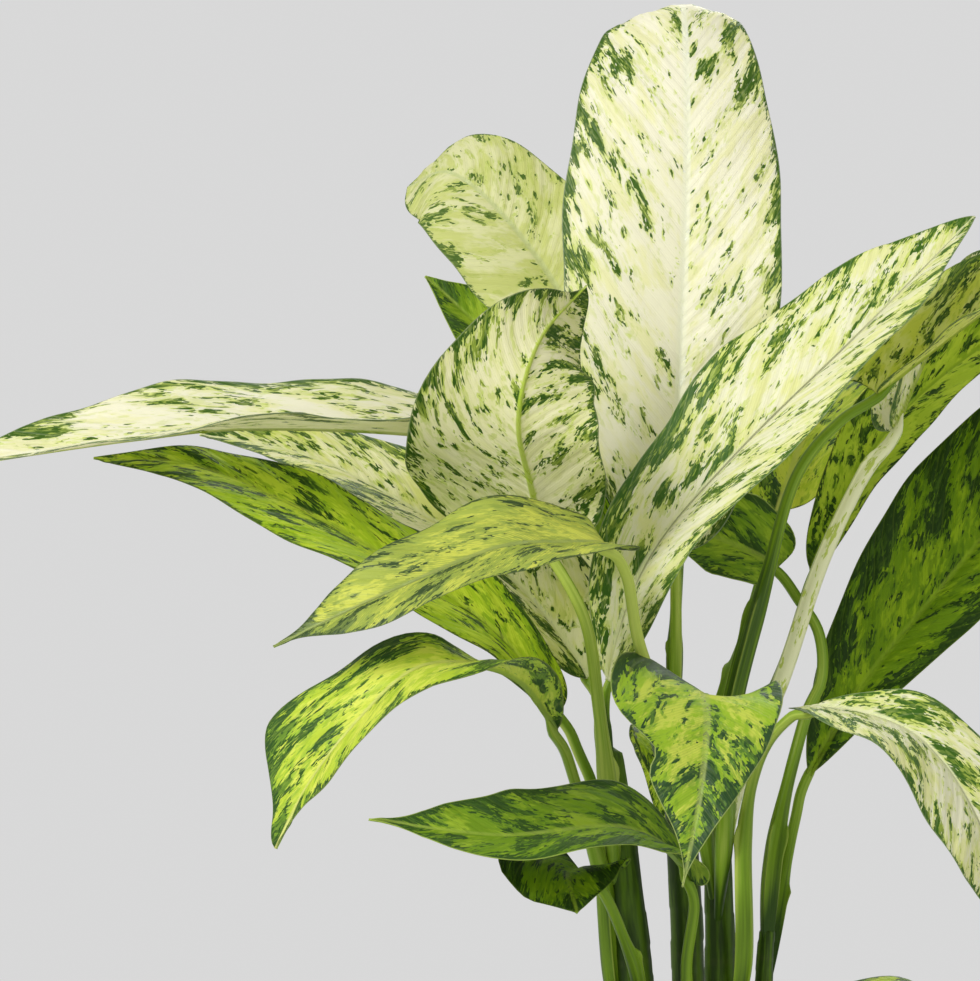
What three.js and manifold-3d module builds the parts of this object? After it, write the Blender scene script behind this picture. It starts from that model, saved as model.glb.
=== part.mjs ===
// A potted dieffenbachia: a plain tapered pot, its soil, four leafy stems and their leaf blades.
// Millimetres, +Z up. The origin is the middle of the pot's underside, and the side that the
// photograph shows faces -Y. Each cane and the leaf stalks that grow from it are one solid;
// each blade, with its raised midrib, is another, just clear of the end of its stalk.
import * as THREE from "three";
import Module from "manifold-3d";

const wasm = await Module();
wasm.setup();

// ---------------------------------------------------------------- driving dimensions
const CLEARANCE = 0.4; // between two pieces that touch on the real plant

const POT = {
  height: 180,
  baseRadius: 74,
  neckRadius: 98,
  rimRadius: 105,
  rimHeight: 22,
  wall: 6,
  floor: 8,
  footRadius: 3,
  sides: 36,
};
const SOIL = { level: 158, crown: 5, holeDepth: 34, holeSides: 12 };

const BLADE = {
  thickness: 1.0,
  ribDepth: [3.6, 0.9], // how far the midrib stands below the blade, at its base and tip
  ribHalfWidth: [3.2, 1.2],
  baseHalfWidth: 4.2,
  tipHalfWidth: 1.0,
  columns: [-1, -0.55, 0, 0.55, 1],
  longRows: [0, 0.03, 0.09, 0.17, 0.26, 0.36, 0.46, 0.56, 0.66, 0.76, 0.86, 0.94, 1],
  shortRows: [0, 0.04, 0.13, 0.25, 0.38, 0.52, 0.66, 0.8, 0.91, 1],
  shortLength: 190, // a blade shorter than this has the fewer rows
};
const STALK = { sides: 6, spacing: 20, endRadius: 3.3 };
const CANE = { sides: 12, spacing: 34 };

// The canes: points on each axis from the soil up, and the radius at each point.
const CANES = {
  left: {
    axis: [[-24, -12], [-24, -12, 160], [-26, -12, 230], [-28, -12, 290], [-34, -12, 350], [-40, -11, 420]],
    radius: [11, 11, 11.5, 12, 10.5, 6],
  },
  back: {
    axis: [[2, 25], [2, 25, 160], [3, 25, 230], [4, 25, 290], [1, 25, 360], [-4, 25, 440]],
    radius: [9.5, 9.5, 9.5, 9.5, 9, 5.5],
  },
  front: {
    axis: [[19, -15], [19, -15, 160], [20, -15, 230], [20, -14, 290], [19, -12, 350], [20, -8, 400]],
    radius: [9, 9, 9, 9, 8, 5.5],
  },
  right: {
    axis: [[36, 5], [36, 5, 160], [40, 6, 215], [44, 8, 275], [47, 11, 320]],
    radius: [7, 7, 6.5, 5.5, 4.5],
  },
};

// The leaves. stalk: points from inside the cane to short of the blade. rib: points on the blade's
// midrib, base first. face: which way the upper side looks at the base and at the tip. half: the
// widest half breadth, left and right as the upper side is seen with its tip up. outline: how fast
// each half widens from the base and narrows to the tip. fold: how far the halves are raised from
// flat, in degrees, at base and tip. curl: how much of that is lost on the way to the margin.
// wave: height, count and start of the margin's waves. lobe: how far the base runs back.
// nick: where a half narrows, by what share and over what reach. left: what the left half has
// otherwise. gap: how far past its stalk the blade begins, where that isn't the usual clearance.
const LEAVES = {
  blade_tall_cream: {
    stem: "back", girth: 5, stalk: [[-4, 25, 400], [-3, 21, 470]],
    rib: [[-3, 18, 526], [-1, 12, 624], [3, 18, 745], [3, 48, 824], [1, 78, 834], [-2, 104, 822]],
    face: [[0.05, -1, 0.1], [0, -0.6, 1]], half: [68, 54], outline: [0.5, 0.62],
    fold: [34, -12], curl: 22, wave: [3.5, 2.6, 0.1], lobe: 6,
    left: { outline: [0.5, 0.56] },
  },
  blade_upper_left_cream: {
    stem: "back", girth: 5, stalk: [[-4, 26, 398], [-22, 44, 458], [-32, 54, 540]],
    rib: [[-37, 60, 611], [-66, 68, 671], [-98, 78, 716], [-129, 95, 742], [-154, 126, 736]],
    face: [[0.1, -1, 0.2], [-0.3, -1, 0.8]], half: [42, 42], outline: [0.5, 0.42],
    fold: [26, -4], curl: 20, wave: [3, 2.2, 0.4], lobe: 5,
  },
  blade_upper_left_green: {
    stem: "back", girth: 4.8, stalk: [[-4, 27, 395], [-22, 62, 460]],
    rib: [[-64, 92, 583], [-100, 98, 640], [-143, 96, 683]],
    face: [[0.2, -0.8, 0.5], [0.2, -0.8, 0.5]], half: [32, 32], outline: [0.5, 0.9],
    fold: [35, 20], curl: 10, wave: [2, 2, 0], lobe: 4,
  },
  blade_left_underside: {
    stem: "left", girth: 5.4, stalk: [[-37, -14, 330], [-42, -32, 395], [-48, -46, 447], [-55, -51, 490]],
    rib: [[-75, -52, 531], [-85, -80, 566], [-91, -100, 592], [-88, -105, 618], [-77, -92, 645], [-55, -52, 670]],
    face: [[0.25, 0.7, 0.6], [-0.2, 0.9, 0.2]], half: [42, 66], outline: [0.55, 1.5],
    fold: [16, 8], curl: 20, wave: [4, 2.4, 0.6], lobe: 4,
    left: { outline: [0.3, 0.5] },
  },
  blade_right_cream: {
    stem: "left", girth: 5.4, stalk: [[-40, -11, 405]],
    rib: [[-42, -15, 456], [-20, -28, 522], [28, -28, 580], [98, -12, 648], [162, 14, 712]],
    face: [[-0.6, -0.75, 0.3], [-0.5, -0.7, 0.6]], half: [46, 56], outline: [0.5, 0.75],
    fold: [38, 30], curl: 12, wave: [3.5, 3, 0.3], lobe: 6,
    left: { outline: [0.9, 0.75] },
  },
  blade_right_trough: {
    stem: "front", girth: 5.6, stalk: [[19, -12, 330], [20, -6, 400], [29, 0, 450], [45, 4, 508], [62, 8, 566], [86, 12, 598]],
    rib: [[107, 15, 614], [131, 17, 633], [170, 17, 662], [206, 10, 684], [236, -4, 690]],
    face: [[-0.5, -0.35, 0.75], [-0.2, -0.4, 1]], half: [42, 38], outline: [0.5, 0.8],
    fold: [34, 30], curl: 10, wave: [2, 3, 0.2], lobe: 4,
    left: { outline: [0.35, 0.8], lobe: 24 },
  },
  blade_right_hidden_cream: {
    stem: "front", girth: 5.2, stalk: [[19, -12, 330], [26, 4, 385], [40, 20, 422], [56, 31, 455], [79, 36, 521], [104, 43, 572]],
    rib: [[119, 50, 594], [144, 84, 642], [178, 112, 684], [208, 132, 694]],
    face: [[-0.5, 0.3, 0.8], [-0.4, 0.4, 0.8]], half: [30, 30], outline: [0.5, 0.8],
    fold: [35, 25], curl: 12, wave: [2.5, 2.5, 0.5], lobe: 4,
  },
  blade_right_lime_underside: {
    stem: "back", girth: 5, stalk: [[2, 26, 350], [22, 46, 394], [42, 66, 424], [60, 86, 458], [72, 102, 490]],
    rib: [[79, 112, 513], [100, 122, 560], [131, 126, 605], [178, 126, 644], [214, 118, 663]],
    face: [[-0.2, 0.9, 0.5], [-0.1, 0.8, 0.6]], half: [24, 24], outline: [0.9, 0.8],
    fold: [20, 15], curl: 10, wave: [2.5, 2.5, 0.1], lobe: 5,
  },
  blade_right_deep_green: {
    stem: "right", girth: 4.4, stalk: [[45, 9, 275], [56, 28, 337], [65, 46, 376]],
    rib: [[73, 52, 400], [105, 62, 452], [149, 74, 504], [189, 76, 552], [227, 64, 594], [252, 42, 615]],
    face: [[0.2, -0.95, 0.3], [-0.2, -0.9, 0.4]], half: [54, 32], outline: [0.95, 0.6],
    fold: [30, 12], curl: 15, wave: [2.5, 2.6, 0.7], lobe: 5,
  },
  blade_right_drooping: {
    stem: "front", girth: 5.2, stalk: [[20, -17, 250], [31, -30, 300], [31, -40, 372], [38, -50, 413], [52, -56, 437]],
    rib: [[62, -62, 443], [88, -78, 443], [122, -98, 428], [150, -112, 386], [164, -112, 330]],
    face: [[0.1, -0.5, 1], [0.7, -0.8, 0.5]], half: [35, 48], outline: [0.5, 0.75],
    fold: [30, 12], curl: 15, wave: [3, 2.4, 0.2], lobe: 7,
    left: { outline: [1.2, 0.75] },
  },
  blade_front_heart: {
    stem: "front", girth: 5, stalk: [[18, -15, 320], [20, -55, 385], [14, -92, 434]],
    rib: [[7, -114, 454], [6, -144, 438], [1, -167, 402], [-8, -176, 358]],
    face: [[0.1, -0.9, 0.5], [0, -1, 0.05]], half: [40, 51], outline: [0.75, 2.0],
    fold: [6, 22], curl: 16, wave: [3, 2, 0.3], lobe: 46, nick: [0.49, 0.34, 0.07],
    left: { outline: [0.35, 1.62], lobe: 31, nick: null }, gap: 1.0,
  },
  blade_front_left_lime: {
    stem: "front", girth: 5.2, stalk: [[17, -14, 330], [6, -44, 395], [-12, -70, 440], [-27, -86, 479], [-34, -95, 516]],
    rib: [[-44, -109, 531], [-72, -129, 533], [-104, -144, 530], [-158, -158, 508], [-218, -152, 480]],
    face: [[0, -0.4, 1], [-0.2, -0.8, 0.6]], half: [31, 37], outline: [0.3, 0.85],
    fold: [22, 14], curl: 16, wave: [3, 2.6, 0.5], lobe: 17,
    left: { outline: [0.4, 0.85], lobe: 18 },
  },
  blade_far_left_cream: {
    stem: "back", girth: 5.2, stalk: [[-4, 25, 392], [-23, 28, 455], [-46, 10, 545]],
    rib: [[-68, -10, 582], [-150, -50, 592], [-236, -82, 594], [-292, -98, 588], [-345, -112, 580], [-392, -124, 572]],
    face: [[0.1, -0.2, 1], [0, -0.6, 1]], half: [40, 35], outline: [0.5, 0.65],
    fold: [36, 32], curl: 12, wave: [3, 3.2, 0.2], lobe: 4,
  },
  blade_left_pale_behind: {
    stem: "left", girth: 4.8, stalk: [[-37, -10, 365], [-45, 6, 420]],
    rib: [[-51, 20, 456], [-98, 36, 516], [-146, 44, 548], [-204, 46, 578], [-268, 36, 592]],
    face: [[0.2, -0.6, 0.8], [0.1, -0.5, 0.9]], half: [46, 44], outline: [0.5, 0.8],
    fold: [28, 18], curl: 14, wave: [3, 3, 0.8], lobe: 5,
  },
  blade_left_bright_green: {
    stem: "left", girth: 5.4, stalk: [[-31, -12, 240], [-40, -18, 300], [-47, -22, 384], [-58, -28, 418]],
    rib: [[-68, -31, 440], [-108, -42, 488], [-181, -60, 536], [-258, -70, 572], [-318, -68, 578]],
    face: [[0.3, -0.6, 0.8], [0.1, -0.6, 0.8]], half: [43, 29], outline: [0.5, 0.8],
    fold: [28, 12], curl: 14, wave: [3, 3, 0.4], lobe: 5,
  },
  blade_lower_left_lime: {
    stem: "left", girth: 4.6, stalk: [[-33, -14, 300], [-48, -28, 360], [-60, -48, 402]],
    rib: [[-71, -68, 432], [-92, -110, 462], [-120, -140, 471], [-147, -152, 467], [-175, -158, 441],
      [-199, -158, 410], [-217, -154, 376]],
    face: [[-0.2, -0.5, 0.9], [-0.75, -0.55, 0.5]], half: [30, 49], outline: [2.4, 0.55],
    fold: [24, 20], curl: 18, wave: [3, 2.6, 0.1], lobe: 6,
    left: { outline: [0.9, 0.8] },
  },
  blade_bottom_left_deep: {
    stem: "front", girth: 4.8, stalk: [[17, -15, 215], [4, -36, 262], [0, -45, 302]],
    rib: [[2, -58, 352], [-34, -98, 382], [-101, -146, 382], [-168, -166, 392]],
    face: [[0, -0.6, 0.9], [0, -0.7, 0.7]], half: [31, 31], outline: [0.45, 0.8],
    fold: [26, 20], curl: 14, wave: [2.5, 2.6, 0.6], lobe: 6,
  },
  blade_small_folded: {
    stem: "left", girth: 4, stalk: [[-28, -13, 250], [-26, -34, 292], [-36, -56, 324], [-46, -72, 346]],
    rib: [[-58, -86, 359], [-65, -110, 358], [-61, -130, 341]],
    face: [[0, -0.5, 0.85], [0, -0.9, 0.4]], half: [32, 40], outline: [0.5, 0.75],
    fold: [28, 18], curl: 12, wave: [2.5, 1.6, 0.2], lobe: 8,
  },
  blade_centre_dark_behind: {
    stem: "right", girth: 5.2, stalk: [[45, 9, 285], [51, 13, 361], [68, 30, 429], [79, 38, 455], [78, 43, 480], [67, 45, 499]],
    rib: [[55, 46, 516], [33, 50, 529], [8, 53, 538], [-14, 52, 543]],
    face: [[-0.1, -0.9, 0.5], [0, -0.9, 0.5]], half: [24, 30], outline: [0.5, 0.8],
    fold: [22, 14], curl: 14, wave: [2.5, 2, 0.4], lobe: 6,
  },
  blade_low_right: {
    stem: "right", girth: 4.6, stalk: [[39, 5, 200], [54, -10, 238]],
    rib: [[66, -20, 264], [94, -32, 280], [132, -44, 264], [168, -54, 218]],
    face: [[0, -0.3, 1], [0.6, -0.3, 0.8]], half: [34, 34], outline: [0.5, 0.8],
    fold: [22, 12], curl: 14, wave: [2.5, 2.4, 0.9], lobe: 6,
  },
  blade_centre_young: {
    stem: "back", girth: 3.8, stalk: [[-5, 25, 405], [-23, 33, 466]],
    rib: [[-29, 36, 520], [-33, 38, 560], [-35, 42, 602]],
    face: [[0, -1, 0.2], [0, -1, 0.2]], half: [14, 14], outline: [0.6, 0.9],
    fold: [40, 30], curl: 10, wave: [1, 1.5, 0], lobe: 2,
  },
  blade_rear_upper: {
    stem: "back", girth: 5, stalk: [[-4, 26, 410], [-2, 56, 480]],
    rib: [[2, 92, 530], [5, 136, 596], [8, 200, 646], [10, 270, 640]],
    face: [[0, 0.2, 1], [0, 0.6, 0.9]], half: [46, 46], outline: [0.5, 0.75],
    fold: [28, 14], curl: 16, wave: [3.5, 2.6, 0.2], lobe: 6,
  },
  blade_rear_right: {
    stem: "back", girth: 5, stalk: [[1, 27, 370], [26, 68, 440], [40, 106, 476], [52, 126, 514]],
    rib: [[62, 142, 548], [86, 192, 606], [112, 252, 636], [126, 310, 612]],
    face: [[0.1, 0.1, 1], [0.3, 0.5, 0.9]], half: [42, 42], outline: [0.5, 0.8],
    fold: [26, 14], curl: 16, wave: [3, 2.6, 0.7], lobe: 6,
  },
  blade_rear_left: {
    stem: "back", girth: 5, stalk: [[-3, 26, 380], [-20, 64, 448]],
    rib: [[-48, 92, 506], [-92, 150, 552], [-124, 222, 572], [-140, 292, 542]],
    face: [[0, 0.1, 1], [-0.3, 0.5, 0.9]], half: [44, 44], outline: [0.5, 0.8],
    fold: [26, 14], curl: 16, wave: [3, 2.6, 0.5], lobe: 6,
  },
  blade_rear_low: {
    stem: "back", girth: 4.8, stalk: [[0, 26, 300], [4, 56, 356]],
    rib: [[6, 84, 388], [8, 134, 416], [12, 200, 394], [14, 250, 336]],
    face: [[0, 0.3, 1], [0, 0.9, 0.5]], half: [34, 30], outline: [0.5, 0.8],
    fold: [24, 12], curl: 16, wave: [3, 2.4, 0.3], lobe: 6,
  },
  blade_low_rear_right: {
    stem: "right", girth: 4.4, stalk: [[38, 6, 190], [54, 26, 224]],
    rib: [[66, 44, 244], [98, 92, 262], [128, 150, 250], [146, 196, 212]],
    face: [[0, 0.1, 1], [0.3, 0.6, 0.8]], half: [34, 34], outline: [0.5, 0.8],
    fold: [24, 12], curl: 16, wave: [2.5, 2.4, 0.1], lobe: 6,
  },
  blade_low_rear_left: {
    stem: "back", girth: 4.4, stalk: [[1, 26, 200], [-18, 46, 230]],
    rib: [[-34, 62, 246], [-76, 104, 262], [-118, 150, 248], [-146, 186, 206]],
    face: [[0, 0.1, 1], [-0.4, 0.6, 0.8]], half: [34, 34], outline: [0.5, 0.8],
    fold: [24, 12], curl: 16, wave: [2.5, 2.4, 0.6], lobe: 6,
  },
  blade_low_front_left: {
    stem: "left", girth: 4.4, stalk: [[-25, -12, 180], [-46, -30, 208]],
    rib: [[-62, -42, 226], [-106, -72, 244], [-154, -104, 232], [-188, -124, 192]],
    face: [[0, -0.2, 1], [-0.4, -0.6, 0.8]], half: [34, 34], outline: [0.5, 0.8],
    fold: [24, 12], curl: 16, wave: [2.5, 2.4, 0.8], lobe: 6,
  },
};

// ---------------------------------------------------------------- looks, one per kind of piece
const finish = (color, roughness, name) =>
  Object.assign(new THREE.MeshStandardMaterial({ color, roughness, metalness: 0 }), { name });
const FINISHES = {
  pot: finish(0xd9d7d0, 0.6, "pot_plain"),
  soil: finish(0x3b2c20, 0.95, "soil"),
  stem: finish(0x4f7a26, 0.5, "stem_green"),
  cream: finish(0xd8dfae, 0.45, "leaf_cream"),
  lime: finish(0x9cbf3a, 0.45, "leaf_lime"),
  deep: finish(0x2f5a22, 0.45, "leaf_deep"),
};
const TONES = {
  blade_tall_cream: "cream", blade_upper_left_cream: "cream", blade_left_underside: "cream",
  blade_right_cream: "cream", blade_right_trough: "cream", blade_right_hidden_cream: "cream",
  blade_right_drooping: "cream", blade_far_left_cream: "cream", blade_rear_upper: "cream",
  blade_left_pale_behind: "cream", blade_rear_left: "cream",
  blade_right_deep_green: "deep", blade_bottom_left_deep: "deep", blade_small_folded: "deep",
  blade_centre_dark_behind: "deep", blade_low_rear_right: "deep", blade_low_rear_left: "deep",
  blade_low_front_left: "deep",
};

// ---------------------------------------------------------------- closed solids
/** A geometry from a flat list of numbers and a list of corner indices. */
function indexed(vertices, triangles) {
  const geometry = new THREE.BufferGeometry();
  geometry.setAttribute("position", new THREE.Float32BufferAttribute(vertices, 3));
  geometry.setIndex(triangles);
  return geometry;
}

/** A closed solid through rings of equally many points, each ring anticlockwise seen from its end. */
function skin(rings) {
  const count = rings[0].length;
  const triangles = [];
  for (let i = 0; i + 1 < rings.length; i++) {
    for (let k = 0; k < count; k++) {
      const [a, b] = [i * count + k, i * count + ((k + 1) % count)];
      triangles.push(a, b, b + count, a, b + count, a + count);
    }
  }
  const last = (rings.length - 1) * count;
  for (let k = 1; k + 1 < count; k++) {
    triangles.push(0, k + 1, k, last, last + k, last + k + 1);
  }
  return indexed(rings.flat().flatMap((p) => p.toArray()), triangles);
}

/** A ring of a turned or bent solid: a circle about a centre, across a direction. */
function circle(centre, along, radius, sides) {
  const side = new THREE.Vector3(1, 0, 0).addScaledVector(along, -along.x).normalize();
  const other = new THREE.Vector3().crossVectors(along, side);
  return Array.from({ length: sides }, (_, k) => {
    const angle = (2 * Math.PI * k) / sides;
    return centre.clone()
      .addScaledVector(side, radius * Math.cos(angle))
      .addScaledVector(other, radius * Math.sin(angle));
  });
}

/** A solid turned about the Z axis from [radius, height] pairs, walked anticlockwise round the cut. */
function turned(profile, sides) {
  const up = new THREE.Vector3(0, 0, 1);
  return skin(profile.map(([radius, height]) => circle(new THREE.Vector3(0, 0, height), up, radius, sides)));
}

/** A round solid bent along a curve, with its radius given by the fraction of the way. */
function bent(curve, from, to, radiusAt, sides, spacing) {
  const steps = Math.max(2, Math.round((curve.getLength() * (to - from)) / spacing));
  return skin(Array.from({ length: steps + 1 }, (_, i) => {
    const fraction = from + ((to - from) * i) / steps;
    return circle(curve.getPointAt(fraction), curve.getTangentAt(fraction), radiusAt(i / steps), sides);
  }));
}

const asManifold = (geometry) => new wasm.Manifold(new wasm.Mesh({
  numProp: 3,
  vertProperties: new Float32Array(geometry.attributes.position.array),
  triVerts: new Uint32Array(geometry.index.array),
}));

function asGeometry(solid) {
  const mesh = solid.getMesh();
  return indexed(Array.from(mesh.vertProperties), Array.from(mesh.triVerts));
}

// ---------------------------------------------------------------- leaves
const vector = (list) => new THREE.Vector3(...list);
const mix = (pair, fraction) => pair[0] + (pair[1] - pair[0]) * fraction;

function smoothCurve(points) {
  const curve = new THREE.CatmullRomCurve3(points.map(vector), false, "catmullrom", 0.5);
  curve.arcLengthDivisions = 400;
  return curve;
}

/** The curve through a leaf's stalk and midrib, and the fraction of it at which the blade begins. */
function spineOf(leaf) {
  const curve = smoothCurve([...leaf.stalk, ...leaf.rib]);
  const lengths = curve.getLengths();
  const place = (leaf.stalk.length / (leaf.stalk.length + leaf.rib.length - 1)) * 400;
  const low = Math.floor(place);
  const base = lengths[low] + (lengths[Math.min(low + 1, 400)] - lengths[low]) * (place - low);
  return { curve, total: lengths[400], start: base / lengths[400] };
}

/** How wide a half is at a fraction of the blade's length, as a share of its widest. */
function breadth(u, [rise, fall]) {
  const peak = rise / (rise + fall);
  const at = (x) => x ** rise * (1 - x) ** fall;
  return at(Math.min(Math.max(u, 1e-4), 1 - 1e-4)) / at(peak);
}

/** The upper side's grid of points and outward directions, row by row from base to tip. */
function bladeGrid(leaf) {
  const { curve, total, start } = spineOf(leaf);
  const length = total * (1 - start);
  const first = start + (leaf.gap ?? CLEARANCE) / total;
  const rows = length < BLADE.shortLength ? BLADE.shortRows : BLADE.longRows;
  const faces = leaf.face.map(vector);
  const fold = leaf.fold.map(THREE.MathUtils.degToRad);
  const loss = THREE.MathUtils.degToRad(leaf.curl);
  const [waveHeight, waveCount, waveStart] = leaf.wave;
  return rows.map((u) => {
    const fraction = Math.min(first + (1 - first) * u, 1);
    const centre = curve.getPointAt(fraction);
    const along = curve.getTangentAt(fraction);
    const up = faces[0].clone().lerp(faces[1], u);
    up.addScaledVector(along, -up.dot(along)).normalize();
    const side = new THREE.Vector3().crossVectors(along, up);
    const rib = mix(BLADE.ribHalfWidth, u);
    const least = mix([BLADE.baseHalfWidth, BLADE.tipHalfWidth], u);
    const open = mix(fold, u);
    const swell = Math.sin(Math.PI * Math.min(u * 1.15, 1)) ** 0.5 || 0;
    const points = BLADE.columns.flatMap((v) => {
      const sign = v < 0 ? -1 : 1;
      const { outline, lobe, nick } = { ...leaf, ...(v < 0 ? leaf.left : null) };
      const back = lobe * (u / 0.1) * Math.exp(1 - u / 0.1);
      const kept = nick ? 1 - nick[1] * Math.exp(-(((u - nick[0]) / nick[2]) ** 2)) : 1;
      const wide = Math.max(leaf.half[v < 0 ? 0 : 1] * breadth(u, outline) * kept, least);
      const ribShare = Math.min(rib / wide, 0.4);
      const shares = v === 0 ? [-ribShare, 0, ribShare] : [v];
      return shares.map((share) => {
        const t = Math.abs(share);
        const half = share === 0 ? 1 : Math.sign(share);
        const angle = open - loss * t;
        const wave = waveHeight * t * t * swell
          * Math.sin(2 * Math.PI * (waveCount * u + waveStart + (half > 0 ? 0 : 0.37)));
        const across = (wide * (Math.sin(open) - Math.sin(open - loss * t))) / loss;
        const raised = (wide * (Math.cos(open - loss * t) - Math.cos(open))) / loss + wave;
        return {
          share, rib: share === 0 ? mix(BLADE.ribDepth, u) : 0,
          point: centre.clone().addScaledVector(side, half * across).addScaledVector(up, raised)
            .addScaledVector(along, -back * t * t),
          out: up.clone().multiplyScalar(Math.cos(angle))
            .addScaledVector(side, -half * (share === 0 ? 0 : Math.sin(angle))),
        };
      });
    });
    return points;
  });
}

/** A blade with its midrib: the grid and its copy one thickness below, closed round the margin. */
function blade(leaf) {
  const grid = bladeGrid(leaf);
  const [rows, columns] = [grid.length, grid[0].length];
  const upper = grid.flat().map(({ point }) => point);
  const lower = grid.flat().map(({ point, out, rib }) =>
    point.clone().addScaledVector(out, -(BLADE.thickness + rib)));
  const below = rows * columns;
  const triangles = [];
  for (let i = 0; i + 1 < rows; i++) {
    for (let j = 0; j + 1 < columns; j++) {
      const a = i * columns + j;
      const [b, c, d] = [a + 1, a + columns + 1, a + columns];
      triangles.push(a, b, c, a, c, d);
      triangles.push(a + below, c + below, b + below, a + below, d + below, c + below);
    }
  }
  const edge = [];
  for (let j = 0; j + 1 < columns; j++) edge.push(j);
  for (let i = 0; i + 1 < rows; i++) edge.push(i * columns + columns - 1);
  for (let j = columns - 1; j > 0; j--) edge.push((rows - 1) * columns + j);
  for (let i = rows - 1; i > 0; i--) edge.push(i * columns);
  edge.forEach((p, k) => {
    const q = edge[(k + 1) % edge.length];
    triangles.push(q, p, p + below, q, p + below, q + below);
  });
  return indexed([...upper, ...lower].flatMap((p) => p.toArray()), triangles);
}

/** A leaf stalk: sheathed and thicker in its lower half, round and slim at the blade. */
function stalkSolid(leaf) {
  const { curve, start } = spineOf(leaf);
  const radiusAt = (share) => {
    const bare = THREE.MathUtils.smoothstep(share, 0.45, 0.62);
    return mix([mix([leaf.girth + 1, leaf.girth], share / 0.5), mix([leaf.girth * 0.8, STALK.endRadius], share)], bare);
  };
  return asManifold(bent(curve, 0, start, radiusAt, STALK.sides, STALK.spacing));
}

// ---------------------------------------------------------------- canes, soil and pot
function caneSolid({ axis, radius }) {
  const foot = SOIL.level - SOIL.holeDepth + CLEARANCE;
  const curve = smoothCurve(axis.map(([x, y, z]) => [x, y, z ?? foot]));
  const radiusAt = (share) => {
    const place = share * (radius.length - 1);
    const low = Math.min(Math.floor(place), radius.length - 2);
    return mix([radius[low], radius[low + 1]], place - low);
  };
  return asManifold(bent(curve, 0, 1, radiusAt, CANE.sides, CANE.spacing));
}

function stemSolid(name) {
  const parts = Object.values(LEAVES).filter(({ stem }) => stem === name).map(stalkSolid);
  return asGeometry([caneSolid(CANES[name]), ...parts].reduce((sum, part) => sum.add(part)));
}

function potWall(height) {
  return POT.baseRadius + ((POT.neckRadius - POT.baseRadius) * height) / (POT.height - POT.rimHeight);
}

function potSolid() {
  const shoulder = POT.height - POT.rimHeight;
  const inner = POT.rimRadius - POT.wall;
  return turned([
    [POT.baseRadius - POT.footRadius, 0], [POT.baseRadius, POT.footRadius],
    [potWall(shoulder), shoulder], [POT.rimRadius - 1.5, shoulder + 2], [POT.rimRadius, shoulder + 4],
    [POT.rimRadius, POT.height - 3], [POT.rimRadius - 1.5, POT.height],
    [inner + 1.5, POT.height], [inner, POT.height - 3], [potWall(shoulder) - POT.wall, shoulder - 8],
    [potWall(POT.floor) - POT.wall, POT.floor],
  ], POT.sides);
}

function soilSolid() {
  const bottom = POT.floor + CLEARANCE;
  const shoulder = POT.height - POT.rimHeight - 8;
  const wallAt = (height) => potWall(height) - POT.wall - CLEARANCE / Math.cos(Math.PI / POT.sides);
  const body = turned([
    [wallAt(bottom), bottom], [wallAt(shoulder), shoulder],
    [wallAt(shoulder) * 0.72, SOIL.level], [wallAt(shoulder) * 0.3, SOIL.level + SOIL.crown],
  ], POT.sides);
  const holes = Object.values(CANES).map(({ axis, radius }) => {
    const [x, y] = axis[0];
    const floor = SOIL.level - SOIL.holeDepth;
    const up = new THREE.Vector3(0, 0, 1);
    return asManifold(skin([floor, SOIL.level + 3 * SOIL.crown].map((height) =>
      circle(new THREE.Vector3(x, y, height), up, radius[0] + 2 * CLEARANCE, SOIL.holeSides))));
  });
  return asGeometry(holes.reduce((rest, hole) => rest.subtract(hole), asManifold(body)));
}

// ---------------------------------------------------------------- the plant
const plant = new THREE.Group();
plant.name = "potted_dieffenbachia";

function place(name, geometry, material) {
  const mesh = new THREE.Mesh(geometry, material);
  mesh.name = name;
  plant.add(mesh);
}

place("pot", potSolid(), FINISHES.pot);
place("soil", soilSolid(), FINISHES.soil);
for (const name of Object.keys(CANES)) place(`leafy_stem_${name}`, stemSolid(name), FINISHES.stem);
for (const [name, leaf] of Object.entries(LEAVES)) {
  place(name, blade(leaf), FINISHES[TONES[name] ?? "lime"]);
}

export default plant;
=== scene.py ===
"""A potted dieffenbachia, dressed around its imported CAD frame.

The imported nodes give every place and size. Each leafy stem, each blade, the soil and the pot is replaced
here by finer pieces that follow the same curves: blades with raised veins, wavy margins and a round
midrib below, channelled and sheathed stalks, ringed canes, crumbly compost and a plain turned pot.
Lengths in the tables are millimetres, and meshes are written in metres.
"""

from __future__ import annotations

import logging
import math
from dataclasses import dataclass
from enum import Enum
from typing import Any, Iterable, Mapping, Sequence

import bmesh
import bpy
import numpy as np
from mathutils import Euler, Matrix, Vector, noise


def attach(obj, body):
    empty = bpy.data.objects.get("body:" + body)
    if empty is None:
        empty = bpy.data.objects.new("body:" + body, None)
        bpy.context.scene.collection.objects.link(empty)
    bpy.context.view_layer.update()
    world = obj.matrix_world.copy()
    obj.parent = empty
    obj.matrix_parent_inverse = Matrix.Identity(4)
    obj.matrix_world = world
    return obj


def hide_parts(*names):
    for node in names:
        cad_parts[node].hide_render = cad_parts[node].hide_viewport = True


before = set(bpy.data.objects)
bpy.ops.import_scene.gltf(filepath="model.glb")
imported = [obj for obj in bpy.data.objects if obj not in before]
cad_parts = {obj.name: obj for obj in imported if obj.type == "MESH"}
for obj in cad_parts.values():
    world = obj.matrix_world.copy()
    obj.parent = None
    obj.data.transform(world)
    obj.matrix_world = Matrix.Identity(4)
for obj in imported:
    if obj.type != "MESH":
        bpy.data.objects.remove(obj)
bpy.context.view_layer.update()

LOG = logging.getLogger("dieffenbachia")
MM = 0.001
TURN = 2 * math.pi

Pair = tuple[float, float]
Triple = tuple[float, float, float]
Faces = list[tuple[int, ...]]
Array = np.ndarray
Material = bpy.types.Material
Piece = bpy.types.Object


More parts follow.
